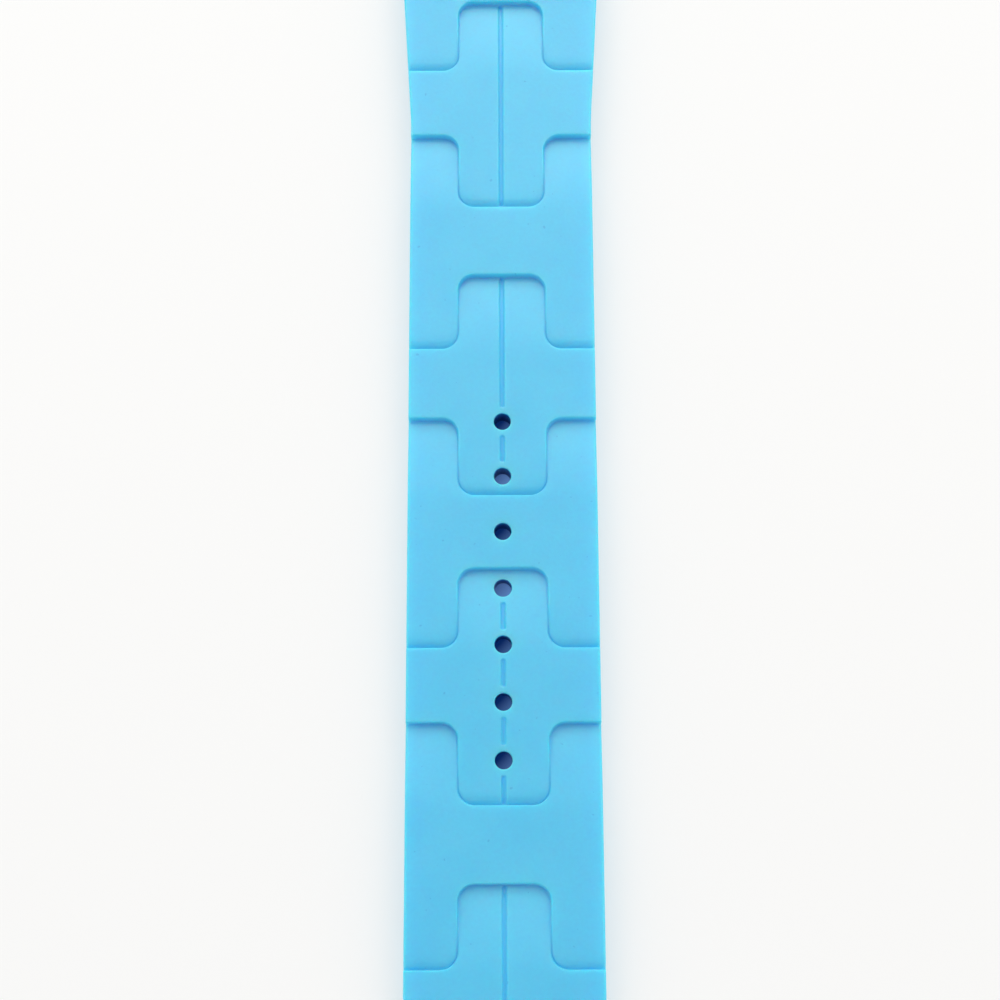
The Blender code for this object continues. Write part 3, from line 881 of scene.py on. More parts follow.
@dataclass
class StrapHalf:
    """One moulded half: outline, interlocking relief, groove and holes, in millimetres from its lug bar."""

    name: str
    node: str
    body: str
    plates: int
    far_end: FarEnd
    end: float
    place: Matrix
    holes: tuple[float, ...] = ()
    thickness: float = 3.4
    crown: float = 1.72
    lug_width: float = 22.0
    waist_width: float = 20.12
    end_width: float = 20.5
    end_radius: float = 8.0
    flare_start: float = 13.0
    flare_end: float = 29.0
    flare_radius: float = 30.0
    lug_plate: float = 14.5
    tongue_length: float = 8.4
    tongue_width: float = 9.5
    arm_length: float = 7.8
    bar_length: float = 7.9
    plate_corner: float = 1.75
    lug_dip: float = 0.75
    tail_dip: float = 0.34
    tail_reach: float = 1.3
    lug_power: float = 1.5
    tail_power: float = 3.5
    lug_draft: float = 0.14
    tail_draft: float = 0.03
    groove_width: float = 0.68
    groove_depth: float = 0.24
    groove_gap: float = 0.55
    groove_tail: float = 6.0
    hole_radius: float = 0.92
    hole_lip: float = 0.08
    # depth down a hole's wall over which the painted shade grows
    painted_hole_shade_depth: float = 0.5
    seam_width: float = 0.17
    seam_depth: float = 0.05
    # share of painted shade along the seam, over its shallow real crease
    painted_seam_shade_share: float = 0.33
    rim_radius: float = 0.24
    bore_radius: float = 0.97
    slot_side: float = 1.3
    slot_back: float = 5.0
    slot_front: float = 4.0
    peg_along: float = 63.0
    peg_hole_radius: float = 1.8
    peg_hole_depth: float = 2.4
    run: float = 0.6

    RIM_RINGS = (0.0, 0.02, 0.06, 0.12, 0.2, 0.3, 0.45)
    STEP_RINGS = (-1.0, -0.7, -0.45, -0.28, -0.16, -0.1, -0.065, -0.03, 0.0,
                  0.03, 0.065, 0.1, 0.16, 0.28, 0.45, 0.7, 1.0)
    GROOVE_RINGS = (-0.2, -0.13, -0.06, 0.0, 0.05, 0.12)
    LIP_RINGS = (0.0, 0.015, 0.05, 0.1, 0.2, 0.35)
    WALL = ((0.02, 0.91), (0.1, 0.55), (0.2, 0.13), (0.225, 0.07), (0.3, 0.02), (0.4, 0.0))
    SEAM_RUN = ((0.5, 0.0), (0.72, 1.0), (0.88, 1.0), (0.98, 0.0))
    NOSE = 0.9998
    GROOVE_TURN = 0.98
    GROOVE_EDGE = 0.03
    GROOVE_FLOOR = 0.4
    SLOT_TURN = 0.9
    SLOT_STEP = 0.3
    TOP_SPACING = 0.8
    UNDER_SPACING = 2.4
    FILL_ROOM = 0.45
    END_SPACING = 0.3
    LUG_ROWS = (0.15, 1.0)
    FAR_ROWS = (2.0, 0.1)
    SHEET_EPSILON = 1e-6
    PLAN_WELD = 1e-5
    STORES = ("plan_x", "plan_y", "level", "rim", "slot", "lip", "seam")

    @property
    def pitch(self) -> float:
        """Length over which the relief repeats."""
        return 2 * self.tongue_length + self.arm_length + self.bar_length

    def tip(self, index: int) -> float:
        """Place of a tongued plate's first tip."""
        return self.lug_plate + index * self.pitch

    def outline(self) -> np.ndarray:
        """Outline of the half, anticlockwise.

        Returns:
            Points along the outline.
        """
        nose = -self.crown * self.NOSE
        last = self.end if self.far_end is FarEnd.TAIL else self.end + self.crown * self.NOSE
        turn = 2 * self.rim_radius
        radius = self.end_radius if self.far_end is FarEnd.TAIL else turn
        right = [(self.lug_width / 2, nose, turn),
                 (self.lug_width / 2, self.flare_start, self.flare_radius),
                 (self.waist_width / 2, self.flare_end, self.flare_radius),
                 (self.end_width / 2, last, radius)]
        return rounded_loop(right + [(-x, y, r) for x, y, r in reversed(right)], self.run)

    def plate_loop(self, index: int, out: float) -> np.ndarray:
        """Outline of a tongued plate.

        Args:
            index: Number of the plate, from the lug end.
            out: How far its edge is moved outwards.

        Returns:
            Points along the outline, which goes past the strap's sides.
        """
        side, reach = self.tongue_width / 2 + out, self.lug_width
        outer, inner = self.plate_corner + out, self.plate_corner - out
        tip = self.tip(index)
        arm = tip + self.tongue_length
        right = [(side, tip - out, outer), (side, arm - out, inner), (reach, arm - out, 0.0)]
        if index == self.plates - 1:
            right.append((reach, self.end + reach, 0.0))
        else:
            arm_end = arm + self.arm_length + out
            far_tip = arm_end + self.tongue_length
            right += [(reach, arm_end, 0.0), (side, arm_end, inner), (side, far_tip, outer)]
        return rounded_loop(right + [(-x, y, r) for x, y, r in reversed(right)], self.run)

    def groove_spans(self) -> list[tuple[float, float]]:
        """Stretches of the centre groove along the tongued plates, short of each hole.

        Returns:
            Start and end of each stretch.
        """
        room = self.hole_radius + self.groove_gap
        spans = []
        for index in range(self.plates):
            start = self.tip(index)
            last = start + 2 * self.tongue_length + self.arm_length
            if index == self.plates - 1:
                last = start + self.tongue_length + self.groove_tail
            for hole in self.holes:
                if start - room < hole < last + room:
                    spans.append((start, min(last, hole - room)))
                    start = hole + room
            spans.append((start, last))
        return [span for span in spans if span[1] - span[0] > 2 * self.groove_width]

    def groove_loop(self, span: tuple[float, float], out: float) -> np.ndarray:
        """Outline of one stretch of groove.

        Args:
            span: Start and end of the stretch.
            out: How far its edge is moved outwards.

        Returns:
            Points along the outline.
        """
        side = self.groove_width / 2 + out
        low, high = span[0] - out, span[1] + out
        turn = side * self.GROOVE_TURN
        corners = [(side, low, turn), (side, high, turn), (-side, high, turn), (-side, low, turn)]
        return rounded_loop(corners, self.run)

    def sheet(self, loops: Sequence[np.ndarray], spacing: float, outline: np.ndarray,
              holes: Sequence[np.ndarray]) -> tuple[np.ndarray, np.ndarray]:
        """Flat triangle sheet that follows all loops.

        Args:
            loops: Closed lines that edges of the sheet follow.
            spacing: Distance between the filling points.
            outline: Line that bounds the sheet.
            holes: Lines that bound its holes.

        Returns:
            Points and anticlockwise triangles.
        """
        edges, start = [], 0
        for loop in loops:
            count = len(loop)
            edges += [(start + i, start + (i + 1) % count) for i in range(count)]
            start += count
        fixed = np.concatenate(loops)
        tree = KDTree(len(fixed))
        for index, (x, y) in enumerate(fixed):
            tree.insert((x, y, 0.0), index)
        tree.balance()
        low, high = outline.min(0), outline.max(0)
        columns = np.arange(low[0] + spacing / 2, high[0], spacing)
        (first, lug_end), (far_start, last) = self.LUG_ROWS, self.FAR_ROWS
        rows = np.concatenate((np.arange(low[1] + first, lug_end, self.END_SPACING),
                               np.arange(lug_end, high[1] - far_start, spacing),
                               np.arange(high[1] - far_start, high[1] - last, self.END_SPACING)))
        room = self.FILL_ROOM * spacing
        filling = [(x, y) for y in rows for x in columns if tree.find((x, y, 0.0))[2] > room]
        points = [Vector(point) for point in fixed] + [Vector(point) for point in filling]
        places, _, faces, *_ = delaunay_2d_cdt(points, edges, [], 0, self.SHEET_EPSILON)
        places = np.array([(point.x, point.y) for point in places])
        faces = np.array(faces)
        centres = places[faces].mean(1)
        kept = inside(centres, outline)
        for hole in holes:
            kept &= ~inside(centres, hole)
        faces = faces[kept]
        a, b, c = (places[faces[:, i]] for i in range(3))
        turned = (b[:, 0] - a[:, 0]) * (c[:, 1] - a[:, 1]) - (b[:, 1] - a[:, 1]) * (c[:, 0] - a[:, 0]) < 0
        faces[turned] = faces[turned][:, ::-1]
        used, faces = np.unique(faces, return_inverse=True)
        return places[used], faces.reshape(-1, 3)

    def plan(self) -> bpy.types.Mesh:
        """Closed flat mesh of the half: top sheet, walls and underside, with what the relief needs to know.

        Returns:
            Mesh whose points store their plan, level, distances from rim, groove and holes, and seam.
        """
        outline = self.outline()
        rims = [inset(outline, depth) for depth in self.RIM_RINGS]
        loops = list(rims)
        for index in range(self.plates):
            loops += [self.plate_loop(index, out) for out in self.STEP_RINGS]
        for span in self.groove_spans():
            loops += [self.groove_loop(span, out) for out in self.GROOVE_RINGS]
        holes = [ring(0.0, hole, self.hole_radius) for hole in self.holes]
        for hole in self.holes:
            loops += [ring(0.0, hole, self.hole_radius + lip) for lip in self.LIP_RINGS]
        top, faces = self.sheet(loops, self.TOP_SPACING, outline, holes)
        points = [np.column_stack((top, np.zeros(len(top))))]
        plans, levels = [top], [np.ones(len(top))]
        polygons = [tuple(face) for face in faces]

        directed = {(a, b) for face in polygons for a, b in zip(face, face[1:] + face[:1])}
        following = {a: b for a, b in directed if (b, a) not in directed}
        before = {b: a for a, b in following.items()}
        border = np.array(list(following))
        along = top[[following[v] for v in border]] - top[[before[v] for v in border]]
        along /= np.linalg.norm(along, axis=1)[:, None]
        inward = np.column_stack((-along[:, 1], along[:, 0]))
        lips = self.hole_distance(top[border])
        inward[lips < self.hole_lip] = 0.0
        order = {vertex: i for i, vertex in enumerate(border)}
        ahead = [order[following[v]] for v in border]
        upper, size = border, len(top)
        for depth, (draft, level) in enumerate(self.WALL, 1):
            lower = np.arange(len(border)) + size
            size += len(border)
            ring_points = top[border] + draft * inward
            points.append(np.column_stack((ring_points, np.full(len(border), -float(depth)))))
            plans.append(top[border])
            levels.append(np.full(len(border), level))
            polygons += [(upper[ahead[i]], upper[i], lower[i], lower[ahead[i]]) for i in range(len(border))]
            upper = lower

        floor_loops, seen = [], set()
        for first in range(len(border)):
            chain = []
            while first not in seen:
                seen.add(first)
                chain.append(first)
                first = ahead[first]
            if chain:
                floor_loops.append(ring_points[chain])
        floor_loops.sort(key=len, reverse=True)
        under, faces = self.sheet(floor_loops, self.UNDER_SPACING, floor_loops[0], floor_loops[1:])
        points.append(np.column_stack((under, np.full(len(under), -float(len(self.WALL))))))
        plans.append(under)
        levels.append(np.zeros(len(under)))
        polygons += [tuple(face[::-1] + size) for face in faces]

        places = np.concatenate(plans)
        mesh = mesh_from(self.name + "_plan", np.concatenate(points), polygons)
        facts = {"plan_x": places[:, 0], "plan_y": places[:, 1], "level": np.concatenate(levels),
                 "rim": self.rim_distance(places, outline), "slot": self.slot_distance(places),
                 "lip": self.hole_distance(places), "seam": self.seam_share(places)}
        for title, values in facts.items():
            store = mesh.attributes.new(title, "FLOAT", "POINT")
            store.data.foreach_set("value", values.astype(np.float32))
        shape = bmesh.new()
        shape.from_mesh(mesh)
        bmesh.ops.remove_doubles(shape, verts=shape.verts, dist=self.PLAN_WELD)
        shape.to_mesh(mesh)
        shape.free()
        return mesh

    def rim_distance(self, points: np.ndarray, outline: np.ndarray) -> np.ndarray:
        """Distance from the sides and the tail, not from the ends that are round about a bar.

        Args:
            points: Places in the plan.
            outline: Outline of the half.

        Returns:
            One distance for each point.
        """
        starts, ends = outline, np.roll(outline, -1, 0)
        square = np.maximum(starts[:, 1], ends[:, 1]) < 0.0
        if self.far_end is FarEnd.BUCKLE:
            square |= np.minimum(starts[:, 1], ends[:, 1]) > self.end
        return distance_to(points, starts[~square], ends[~square])

    def slot_distance(self, points: np.ndarray) -> np.ndarray:
        """Distance outside the nearest groove's edge, below zero inside it.

        Args:
            points: Places in the plan.

        Returns:
            One distance for each point.
        """
        half = self.groove_width / 2
        nearest = np.full(len(points), np.inf)
        for low, high in self.groove_spans():
            past = np.maximum(np.maximum(low + half - points[:, 1], points[:, 1] - high + half), 0.0)
            nearest = np.minimum(nearest, np.hypot(points[:, 0], past) - half)
        return nearest

    def seam_share(self, points: np.ndarray) -> np.ndarray:
        """How deep each point lies in the fine seam beside the ends that dip towards the tail.

        Args:
            points: Places in the plan.

        Returns:
            One in the middle of the seam, nought beside it and where the two levels cross.
        """
        middle = self.lug_plate + self.tongue_length + self.arm_length / 2
        index = np.clip(np.round((points[:, 1] - middle) / self.pitch), 0, self.plates - 1)
        away = points[:, 1] - middle - index * self.pitch
        way = np.clip((np.abs(away) - self.arm_length / 2) / self.tongue_length, 0.0, 1.0)
        dipping = np.where(away > 0.0, way, 1.0 - way)
        strength = np.interp(dipping, *zip(*self.SEAM_RUN))
        loops = [self.plate_loop(plate, 0.0) for plate in range(self.plates)]
        ends = np.concatenate([np.roll(loop, -1, 0) for loop in loops])
        distance = distance_to(points, np.concatenate(loops), ends)
        return strength * np.clip(1.0 - distance / self.seam_width, 0.0, 1.0)

    def hole_distance(self, points: np.ndarray) -> np.ndarray:
        """Distance from the nearest hole's edge.

        Args:
            points: Places in the plan.

        Returns:
            One distance for each point.
        """
        nearest = np.full(len(points), self.end)
        for hole in self.holes:
            distance = np.hypot(points[:, 0], points[:, 1] - hole) - self.hole_radius
            nearest = np.minimum(nearest, distance)
        return nearest

    def relief(self, material: bpy.types.Material) -> Tree:
        """Node tree that raises the plan to the moulded shape.

        Args:
            material: Finish of the moulding.

        Returns:
            Tree with the relief's sizes as named inputs.
        """
        bar_end = self.end if self.far_end is FarEnd.BUCKLE else 2 * self.end
        tree = Tree(self.name + "_relief", {
            "Last Plate": self.plates - 1, "Lug Plate": self.lug_plate, "Pitch": self.pitch,
            "Tongue Length": self.tongue_length, "Tongue Half Width": self.tongue_width / 2,
            "Arm Half Length": self.arm_length / 2, "Plate Corner": self.plate_corner,
            "Lug Dip": self.lug_dip, "Tail Dip": self.tail_dip, "Tail Reach": self.tail_reach,
            "Lug Power": self.lug_power, "Tail Power": self.tail_power,
            "Lug Draft": self.lug_draft, "Tail Draft": self.tail_draft,
            "Groove Depth": self.groove_depth, "Groove Floor": self.groove_width * self.GROOVE_FLOOR,
            "Seam Depth": self.seam_depth, "Rim Radius": self.rim_radius, "Hole Lip": self.hole_lip,
            "Half Thickness": self.thickness / 2, "Round End": self.crown, "Far Bar": bar_end}, material)
        across, along = abs(tree.stored("plan_x")), tree.stored("plan_y")
        last, tongue, arm = map(tree.given, ("Last Plate", "Tongue Length", "Arm Half Length"))
        corner, high, reach = map(tree.given, ("Plate Corner", "Half Thickness", "Tail Reach"))

        middle = tree.given("Lug Plate") + tongue + arm
        index = ((along - middle) / tree.given("Pitch")).rounded().most(0.0).least(last)
        away = along - middle - index * tree.given("Pitch")
        far = abs(away).towards(-away, index.above(last - 0.5))
        side = across - tree.given("Tongue Half Width") + corner
        tip = far - arm - tongue + corner
        outer = (side.most(0.0) * side.most(0.0) + tip.most(0.0) * tip.most(0.0)).root()
        column = outer + side.most(tip).least(0.0) - corner
        bar = far - arm
        near_column, near_bar = (corner - column).most(0.0), (corner - bar).most(0.0)
        fillet = (near_column * near_column + near_bar * near_bar).root()
        edge = corner.most(column.least(bar)) - fillet

        way = (bar / tongue).share()
        back = -way + 1.0
        past_middle = away.above(0.0)
        lug_plate, lug_legs = (high - tree.given("Lug Dip") * run.power(tree.given("Lug Power"))
                               for run in (way, back))
        near_plate, near_legs = (((reach - depth) / reach).share() for depth in (-edge, edge))
        tail_dip, tail_power = tree.given("Tail Dip"), tree.given("Tail Power")
        tail_plate, tail_legs = (high - tail_dip * run.power(tail_power) * near * near
                                 for run, near in ((way, near_plate), (back, near_legs)))
        plate = lug_plate.towards(tail_plate, past_middle)
        legs = tail_legs.towards(lug_legs, past_middle)
        lug_draft, tail_draft = tree.given("Lug Draft"), tree.given("Tail Draft")
        draft = tail_draft.towards(lug_draft, way).towards(lug_draft.towards(tail_draft, way), past_middle)
        top = legs.towards(plate, edge.eased(draft, -draft))
        groove = tree.stored("slot").eased(self.GROOVE_EDGE, -tree.given("Groove Floor"))
        top = top - tree.given("Groove Depth") * groove
        top = top - tree.given("Seam Depth") * tree.stored("seam")
        for distance, radius in (("rim", tree.given("Rim Radius")), ("lip", tree.given("Hole Lip"))):
            short = (radius - tree.stored(distance)).most(0.0)
            top = top - radius + (radius * radius - short * short).root()

        place = tree.node("GeometryNodeInputPosition")
        parts = tree.node("ShaderNodeSeparateXYZ")
        tree.link(place.outputs["Position"], parts.inputs["Vector"])
        run = Field(tree.nodes_of, parts.outputs["Y"])
        past = (-run).most(run - tree.given("Far Bar")).most(0.0) / tree.given("Round End")
        round_off = (past * past * -1.0 + 1.0).root()
        height = (tree.stored("level") * (top + high) - high) * round_off

        joined = tree.node("ShaderNodeCombineXYZ")
        tree.link(parts.outputs["X"], joined.inputs["X"])
        tree.link(parts.outputs["Y"], joined.inputs["Y"])
        tree.link(height.socket, joined.inputs["Z"])
        moved = tree.node("GeometryNodeSetPosition")
        tree.link(tree.entry.outputs["Geometry"], moved.inputs["Geometry"])
        tree.link(joined.outputs["Vector"], moved.inputs["Position"])
        tree.close(moved.outputs["Geometry"])
        return tree

    def tools(self) -> list[bpy.types.Mesh]:
        """Cutters for the bar's bore, and for the buckle end's bore, slot and keeper hole.

        Returns:
            Closed meshes in the half's own frame.
        """
        length = 2 * self.lug_width
        found = [round_bar(self.name + "_bore", self.bore_radius, length, LYING)]
        if self.far_end is FarEnd.BUCKLE:
            move = Matrix.Translation((0.0, self.end, 0.0))
            found.append(round_bar(self.name + "_buckle_bore", self.bore_radius, length, move @ LYING))
            found.append(self.slot_tool())
            peg = Matrix.Translation((0.0, self.peg_along, -self.thickness / 2))
            found.append(round_bar(self.name + "_peg_hole", self.peg_hole_radius, self.peg_hole_depth, peg))
        return found

    def slot_tool(self) -> bpy.types.Mesh:
        """Cutter for the slot that the buckle's tongue swings in.

        Returns:
            Closed mesh in the half's own frame.
        """
        side, back, front = self.slot_side, self.end - self.slot_back, self.end + self.slot_front
        turn = side * self.SLOT_TURN
        corners = [(side, back, turn), (side, front, 0.0), (-side, front, 0.0), (-side, back, turn)]
        loop = rounded_loop(corners, self.SLOT_STEP)
        return prism(self.name + "_slot", loop, -self.thickness, self.thickness)

    def build(self, material: bpy.types.Material) -> bpy.types.Object:
        """Make the half's finished piece.

        Args:
            material: Finish of the moulding.

        Returns:
            The piece, in its place in the model.
        """
        mesh = self.relief(material).grow(self.plan())
        for store in [item.name for item in mesh.attributes if item.name in self.STORES]:
            mesh.attributes.remove(mesh.attributes[store])
        clean(mesh)
        mesh = cut(mesh, self.tools())
        clean(mesh)
        self.store_painted_shade(mesh)
        mesh.transform(self.place)
        return piece_of(self.name, mesh, material)

    def store_painted_shade(self, mesh: bpy.types.Mesh) -> None:
        """Store for the finish the share of painted shade at each point: down a hole's wall, in the groove
        and along the seam.

        Args:
            mesh: The half, in its own frame.
        """
        places = np.array([point.co for point in mesh.vertices])
        depth = np.clip((self.thickness / 2 - places[:, 2]) / self.painted_hole_shade_depth, 0.0, 1.0)
        walls = np.abs(self.hole_distance(places[:, :2])) < self.hole_lip / 2
        flank = self.groove_width * self.GROOVE_FLOOR
        floor = np.clip(-self.slot_distance(places[:, :2]) / flank, 0.0, 1.0)
        seam = self.seam_share(places[:, :2])
        face = places[:, 2] > 0.0
        # painted shade: hole walls darken with depth, and the groove floor and the seam get a darker tint
        shares = {SiliconeFinish.PAINTED_HOLE_AND_SEAM_SHADE: np.where(walls, depth, face * seam * self.painted_seam_shade_share),
                  SiliconeFinish.PAINTED_GROOVE_AND_SEAM_SHADE: face * np.maximum(floor, seam)}
        for title, share in shares.items():
            store = mesh.attributes.new(title, "FLOAT", "POINT")
            store.data.foreach_set("value", share.astype(np.float32))

    def dress(self, material: bpy.types.Material) -> None:
        """Make the half and hand it to the frame."""
        hand_over(self.build(material), self.body, "silicone", self.node)


@dataclass
class Keeper:
    """Silicone loop round two thicknesses of strap, swept along a rounded frame."""

    name: str
    node: str
    body: str
    start: float
    place: Matrix
    pegged: bool = False
    inner_width: float = 21.1
    inner_low: float = -2.0
    inner_high: float = 6.3
    wall: float = 1.5
    width: float = 6.0
    corner: float = 1.15
    edge: float = 0.45
    corner_steps: int = 14
    edge_steps: int = 6
    peg_radius: float = 1.5
    peg_length: float = 1.95
    peg_middle: float = -1.775

    def sweep(self, material: bpy.types.Material) -> Tree:
        """Node tree that sweeps the band's section along the loop.

        Args:
            material: Finish of the moulding.

        Returns:
            Tree with the loop's sizes as named inputs.
        """
        tree = Tree(self.name + "_sweep", {
            "Loop Width": self.inner_width + self.wall,
            "Loop Height": self.inner_high - self.inner_low + self.wall,
            "Loop Corner": self.corner + self.wall / 2, "Wall": self.wall, "Band Width": self.width,
            "Edge Radius": self.edge}, material)
        curves = []
        for wide, tall, turn, count in (("Loop Width", "Loop Height", "Loop Corner", self.corner_steps),
                                        ("Wall", "Band Width", "Edge Radius", self.edge_steps)):
            frame_curve = tree.node("GeometryNodeCurvePrimitiveQuadrilateral")
            tree.link(tree.entry.outputs[wide], frame_curve.inputs["Width"])
            tree.link(tree.entry.outputs[tall], frame_curve.inputs["Height"])
            fillet = tree.node("GeometryNodeFilletCurve", mode="POLY")
            fillet.inputs["Count"].default_value = count
            tree.link(frame_curve.outputs["Curve"], fillet.inputs["Curve"])
            tree.link(tree.entry.outputs[turn], fillet.inputs["Radius"])
            curves.append(fillet.outputs["Curve"])
        swept = tree.node("GeometryNodeCurveToMesh")
        tree.link(curves[0], swept.inputs["Curve"])
        tree.link(curves[1], swept.inputs["Profile Curve"])
        tree.close(swept.outputs["Mesh"])
        return tree

    def dress(self, material: bpy.types.Material) -> None:
        """Make the loop and hand it to the frame.

        Args:
            material: Finish of the moulding.
        """
        mesh = self.sweep(material).grow(bpy.data.meshes.new(self.name))
        along = self.start + self.width / 2
        middle = Matrix.Translation((0.0, along, (self.inner_low + self.inner_high) / 2))
        mesh.transform(middle @ Matrix.Rotation(math.pi / 2, 4, "X"))
        if self.pegged:
            place = Matrix.Translation((0.0, along, self.peg_middle))
            peg = round_bar(self.name + "_peg", self.peg_radius, self.peg_length, place)
            mesh = cut(mesh, [peg], "UNION")
        clean(mesh)
        mesh.transform(self.place)
        hand_over(piece_of(self.name, mesh, material), self.body, "silicone", self.node)


@dataclass
class SpringBar:
    """Tube with crimped ends, two pins and the coil that drives them out, in mm about its middle."""

    prefix: str
    body: str
    pin_body: str
    span: float
    place: Matrix
    radius: float = 0.89
    wall: float = 0.2
    crimp: float = 0.4
    crimp_step: float = 0.06
    pin_radius: float = 0.45
    tip_radius: float = 0.4
    tip_length: float = 0.9
    flange_radius: float = 0.75
    flange_length: float = 0.4
    head_length: float = 1.6
    travel: float = 1.2
    chamfer: float = 0.1
    clearance: float = 0.08
    seat: float = 0.1
    sides: int = ROUND_SIDES
    wire: float = 0.16
    wire_sides: int = 8
    turns: float = 9.0
    turn_steps: int = 24

    def tube_profile(self) -> list[tuple[float, float]]:
        """Section of the tube, from one crimped lip to the other and back.

        Returns:
            Places along the bar and radii there.
        """
        end = self.span / 2 - self.flange_length - self.travel - self.seat
        throat, lip, inner = end - self.crimp, self.pin_radius + self.clearance, self.radius - self.wall
        crimped, soft = self.radius - self.crimp_step, self.chamfer
        return [(end, lip), (end, crimped - soft), (end - soft, crimped), (throat, self.radius),
                (-throat, self.radius), (-end + soft, crimped), (-end, crimped - soft), (-end, lip),
                (-throat, lip), (-throat, inner), (throat, inner), (throat, lip)]

    def pin_profile(self) -> list[tuple[float, float]]:
        """Section of the right pin, from its tip to the head inside the tube.

        Returns:
            Places along the bar and radii there.
        """
        flange, soft = self.span / 2, self.chamfer
        tip = flange + self.tip_length
        end = flange - self.flange_length - self.travel - self.seat
        head_top = end - self.crimp - self.seat
        head = self.radius - self.wall - self.clearance
        back, bottom = flange - self.flange_length, head_top - self.head_length
        return [(tip, 0.0), (tip, self.tip_radius - soft), (tip - soft, self.tip_radius),
                (flange, self.tip_radius), (flange, self.flange_radius - soft / 2),
                (flange - soft / 2, self.flange_radius), (back + soft / 2, self.flange_radius),
                (back, self.flange_radius - soft / 2), (back, self.pin_radius),
                (head_top, self.pin_radius), (head_top, head), (bottom, head), (bottom, 0.0)]

    def coil_half(self) -> float:
        """Length of the coil from its middle to the end that a pin's head bears on."""
        head_low = min(along for along, _ in self.pin_profile())
        return head_low - self.seat

    def coil(self, material: bpy.types.Material) -> Tree:
        """Node tree that winds half of the coil's wire about Z, up from its middle.

        Args:
            material: Finish of the wire.

        Returns:
            Tree with the coil's sizes as named inputs.
        """
        tree = Tree(self.prefix + "_coil", {
            "Turns": self.turns / 2, "Rise": self.coil_half() - self.wire / 2, "Wire Radius": self.wire / 2,
            "Coil Radius": self.radius - self.wall - self.clearance - self.wire / 2}, material)
        spiral = tree.node("GeometryNodeCurveSpiral")
        spiral.inputs["Resolution"].default_value = self.turn_steps
        for title, socket in (("Turns", "Rotations"), ("Rise", "Height"), ("Coil Radius", "Start Radius"),
                              ("Coil Radius", "End Radius")):
            tree.link(tree.entry.outputs[title], spiral.inputs[socket])
        section = tree.node("GeometryNodeCurvePrimitiveCircle")
        section.inputs["Resolution"].default_value = self.wire_sides
        tree.link(tree.entry.outputs["Wire Radius"], section.inputs["Radius"])
        swept = tree.node("GeometryNodeCurveToMesh")
        swept.inputs["Fill Caps"].default_value = True
        tree.link(spiral.outputs["Curve"], swept.inputs["Curve"])
        tree.link(section.outputs["Curve"], swept.inputs["Profile Curve"])
        tree.close(swept.outputs["Mesh"])
        return tree

    def wind(self, material: bpy.types.Material) -> None:
        """Make the coil in two halves, one for each pin.

        Args:
            material: Finish of the wire.
        """
        tree = self.coil(material)
        for side in Side:
            mesh = tree.grow(bpy.data.meshes.new(self.prefix + "_spring"))
            clean(mesh)
            about = Matrix.Rotation(0.0 if side is Side.RIGHT else math.pi, 4, "Z")
            mesh.transform(self.place @ about @ LYING)
            word = side.name.lower()
            piece = piece_of(f"fine_{self.prefix}_spring_{word}", mesh, material)
            hand_over(piece, self.body, "steel", self.prefix + "_spring")
            1.0 - self.travel / self.coil_half()
            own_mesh(piece)

    def dress(self, material: bpy.types.Material) -> None:
        """Make tube, pins and coil, and hand them to the frame.

        Args:
            material: Finish of the bar.
        """
        tube = lathe(self.prefix + "_tube", self.tube_profile(), self.sides)
        made = [(tube, self.body, self.prefix + "_tube")]
        for side in Side:
            name = f"{self.prefix}_pin_{side.name.lower()}"
            profile = [(side.value * along, radius) for along, radius in self.pin_profile()]
            pin = lathe(name, profile, self.sides)
            made.append((pin, f"{self.pin_body}_pin_{side.name.lower()}", name))
        for mesh, body, node in made:
            clean(mesh)
            mesh.transform(self.place)
            hand_over(piece_of("fine_" + node, mesh, material), body, "steel", node)
        self.wind(material)


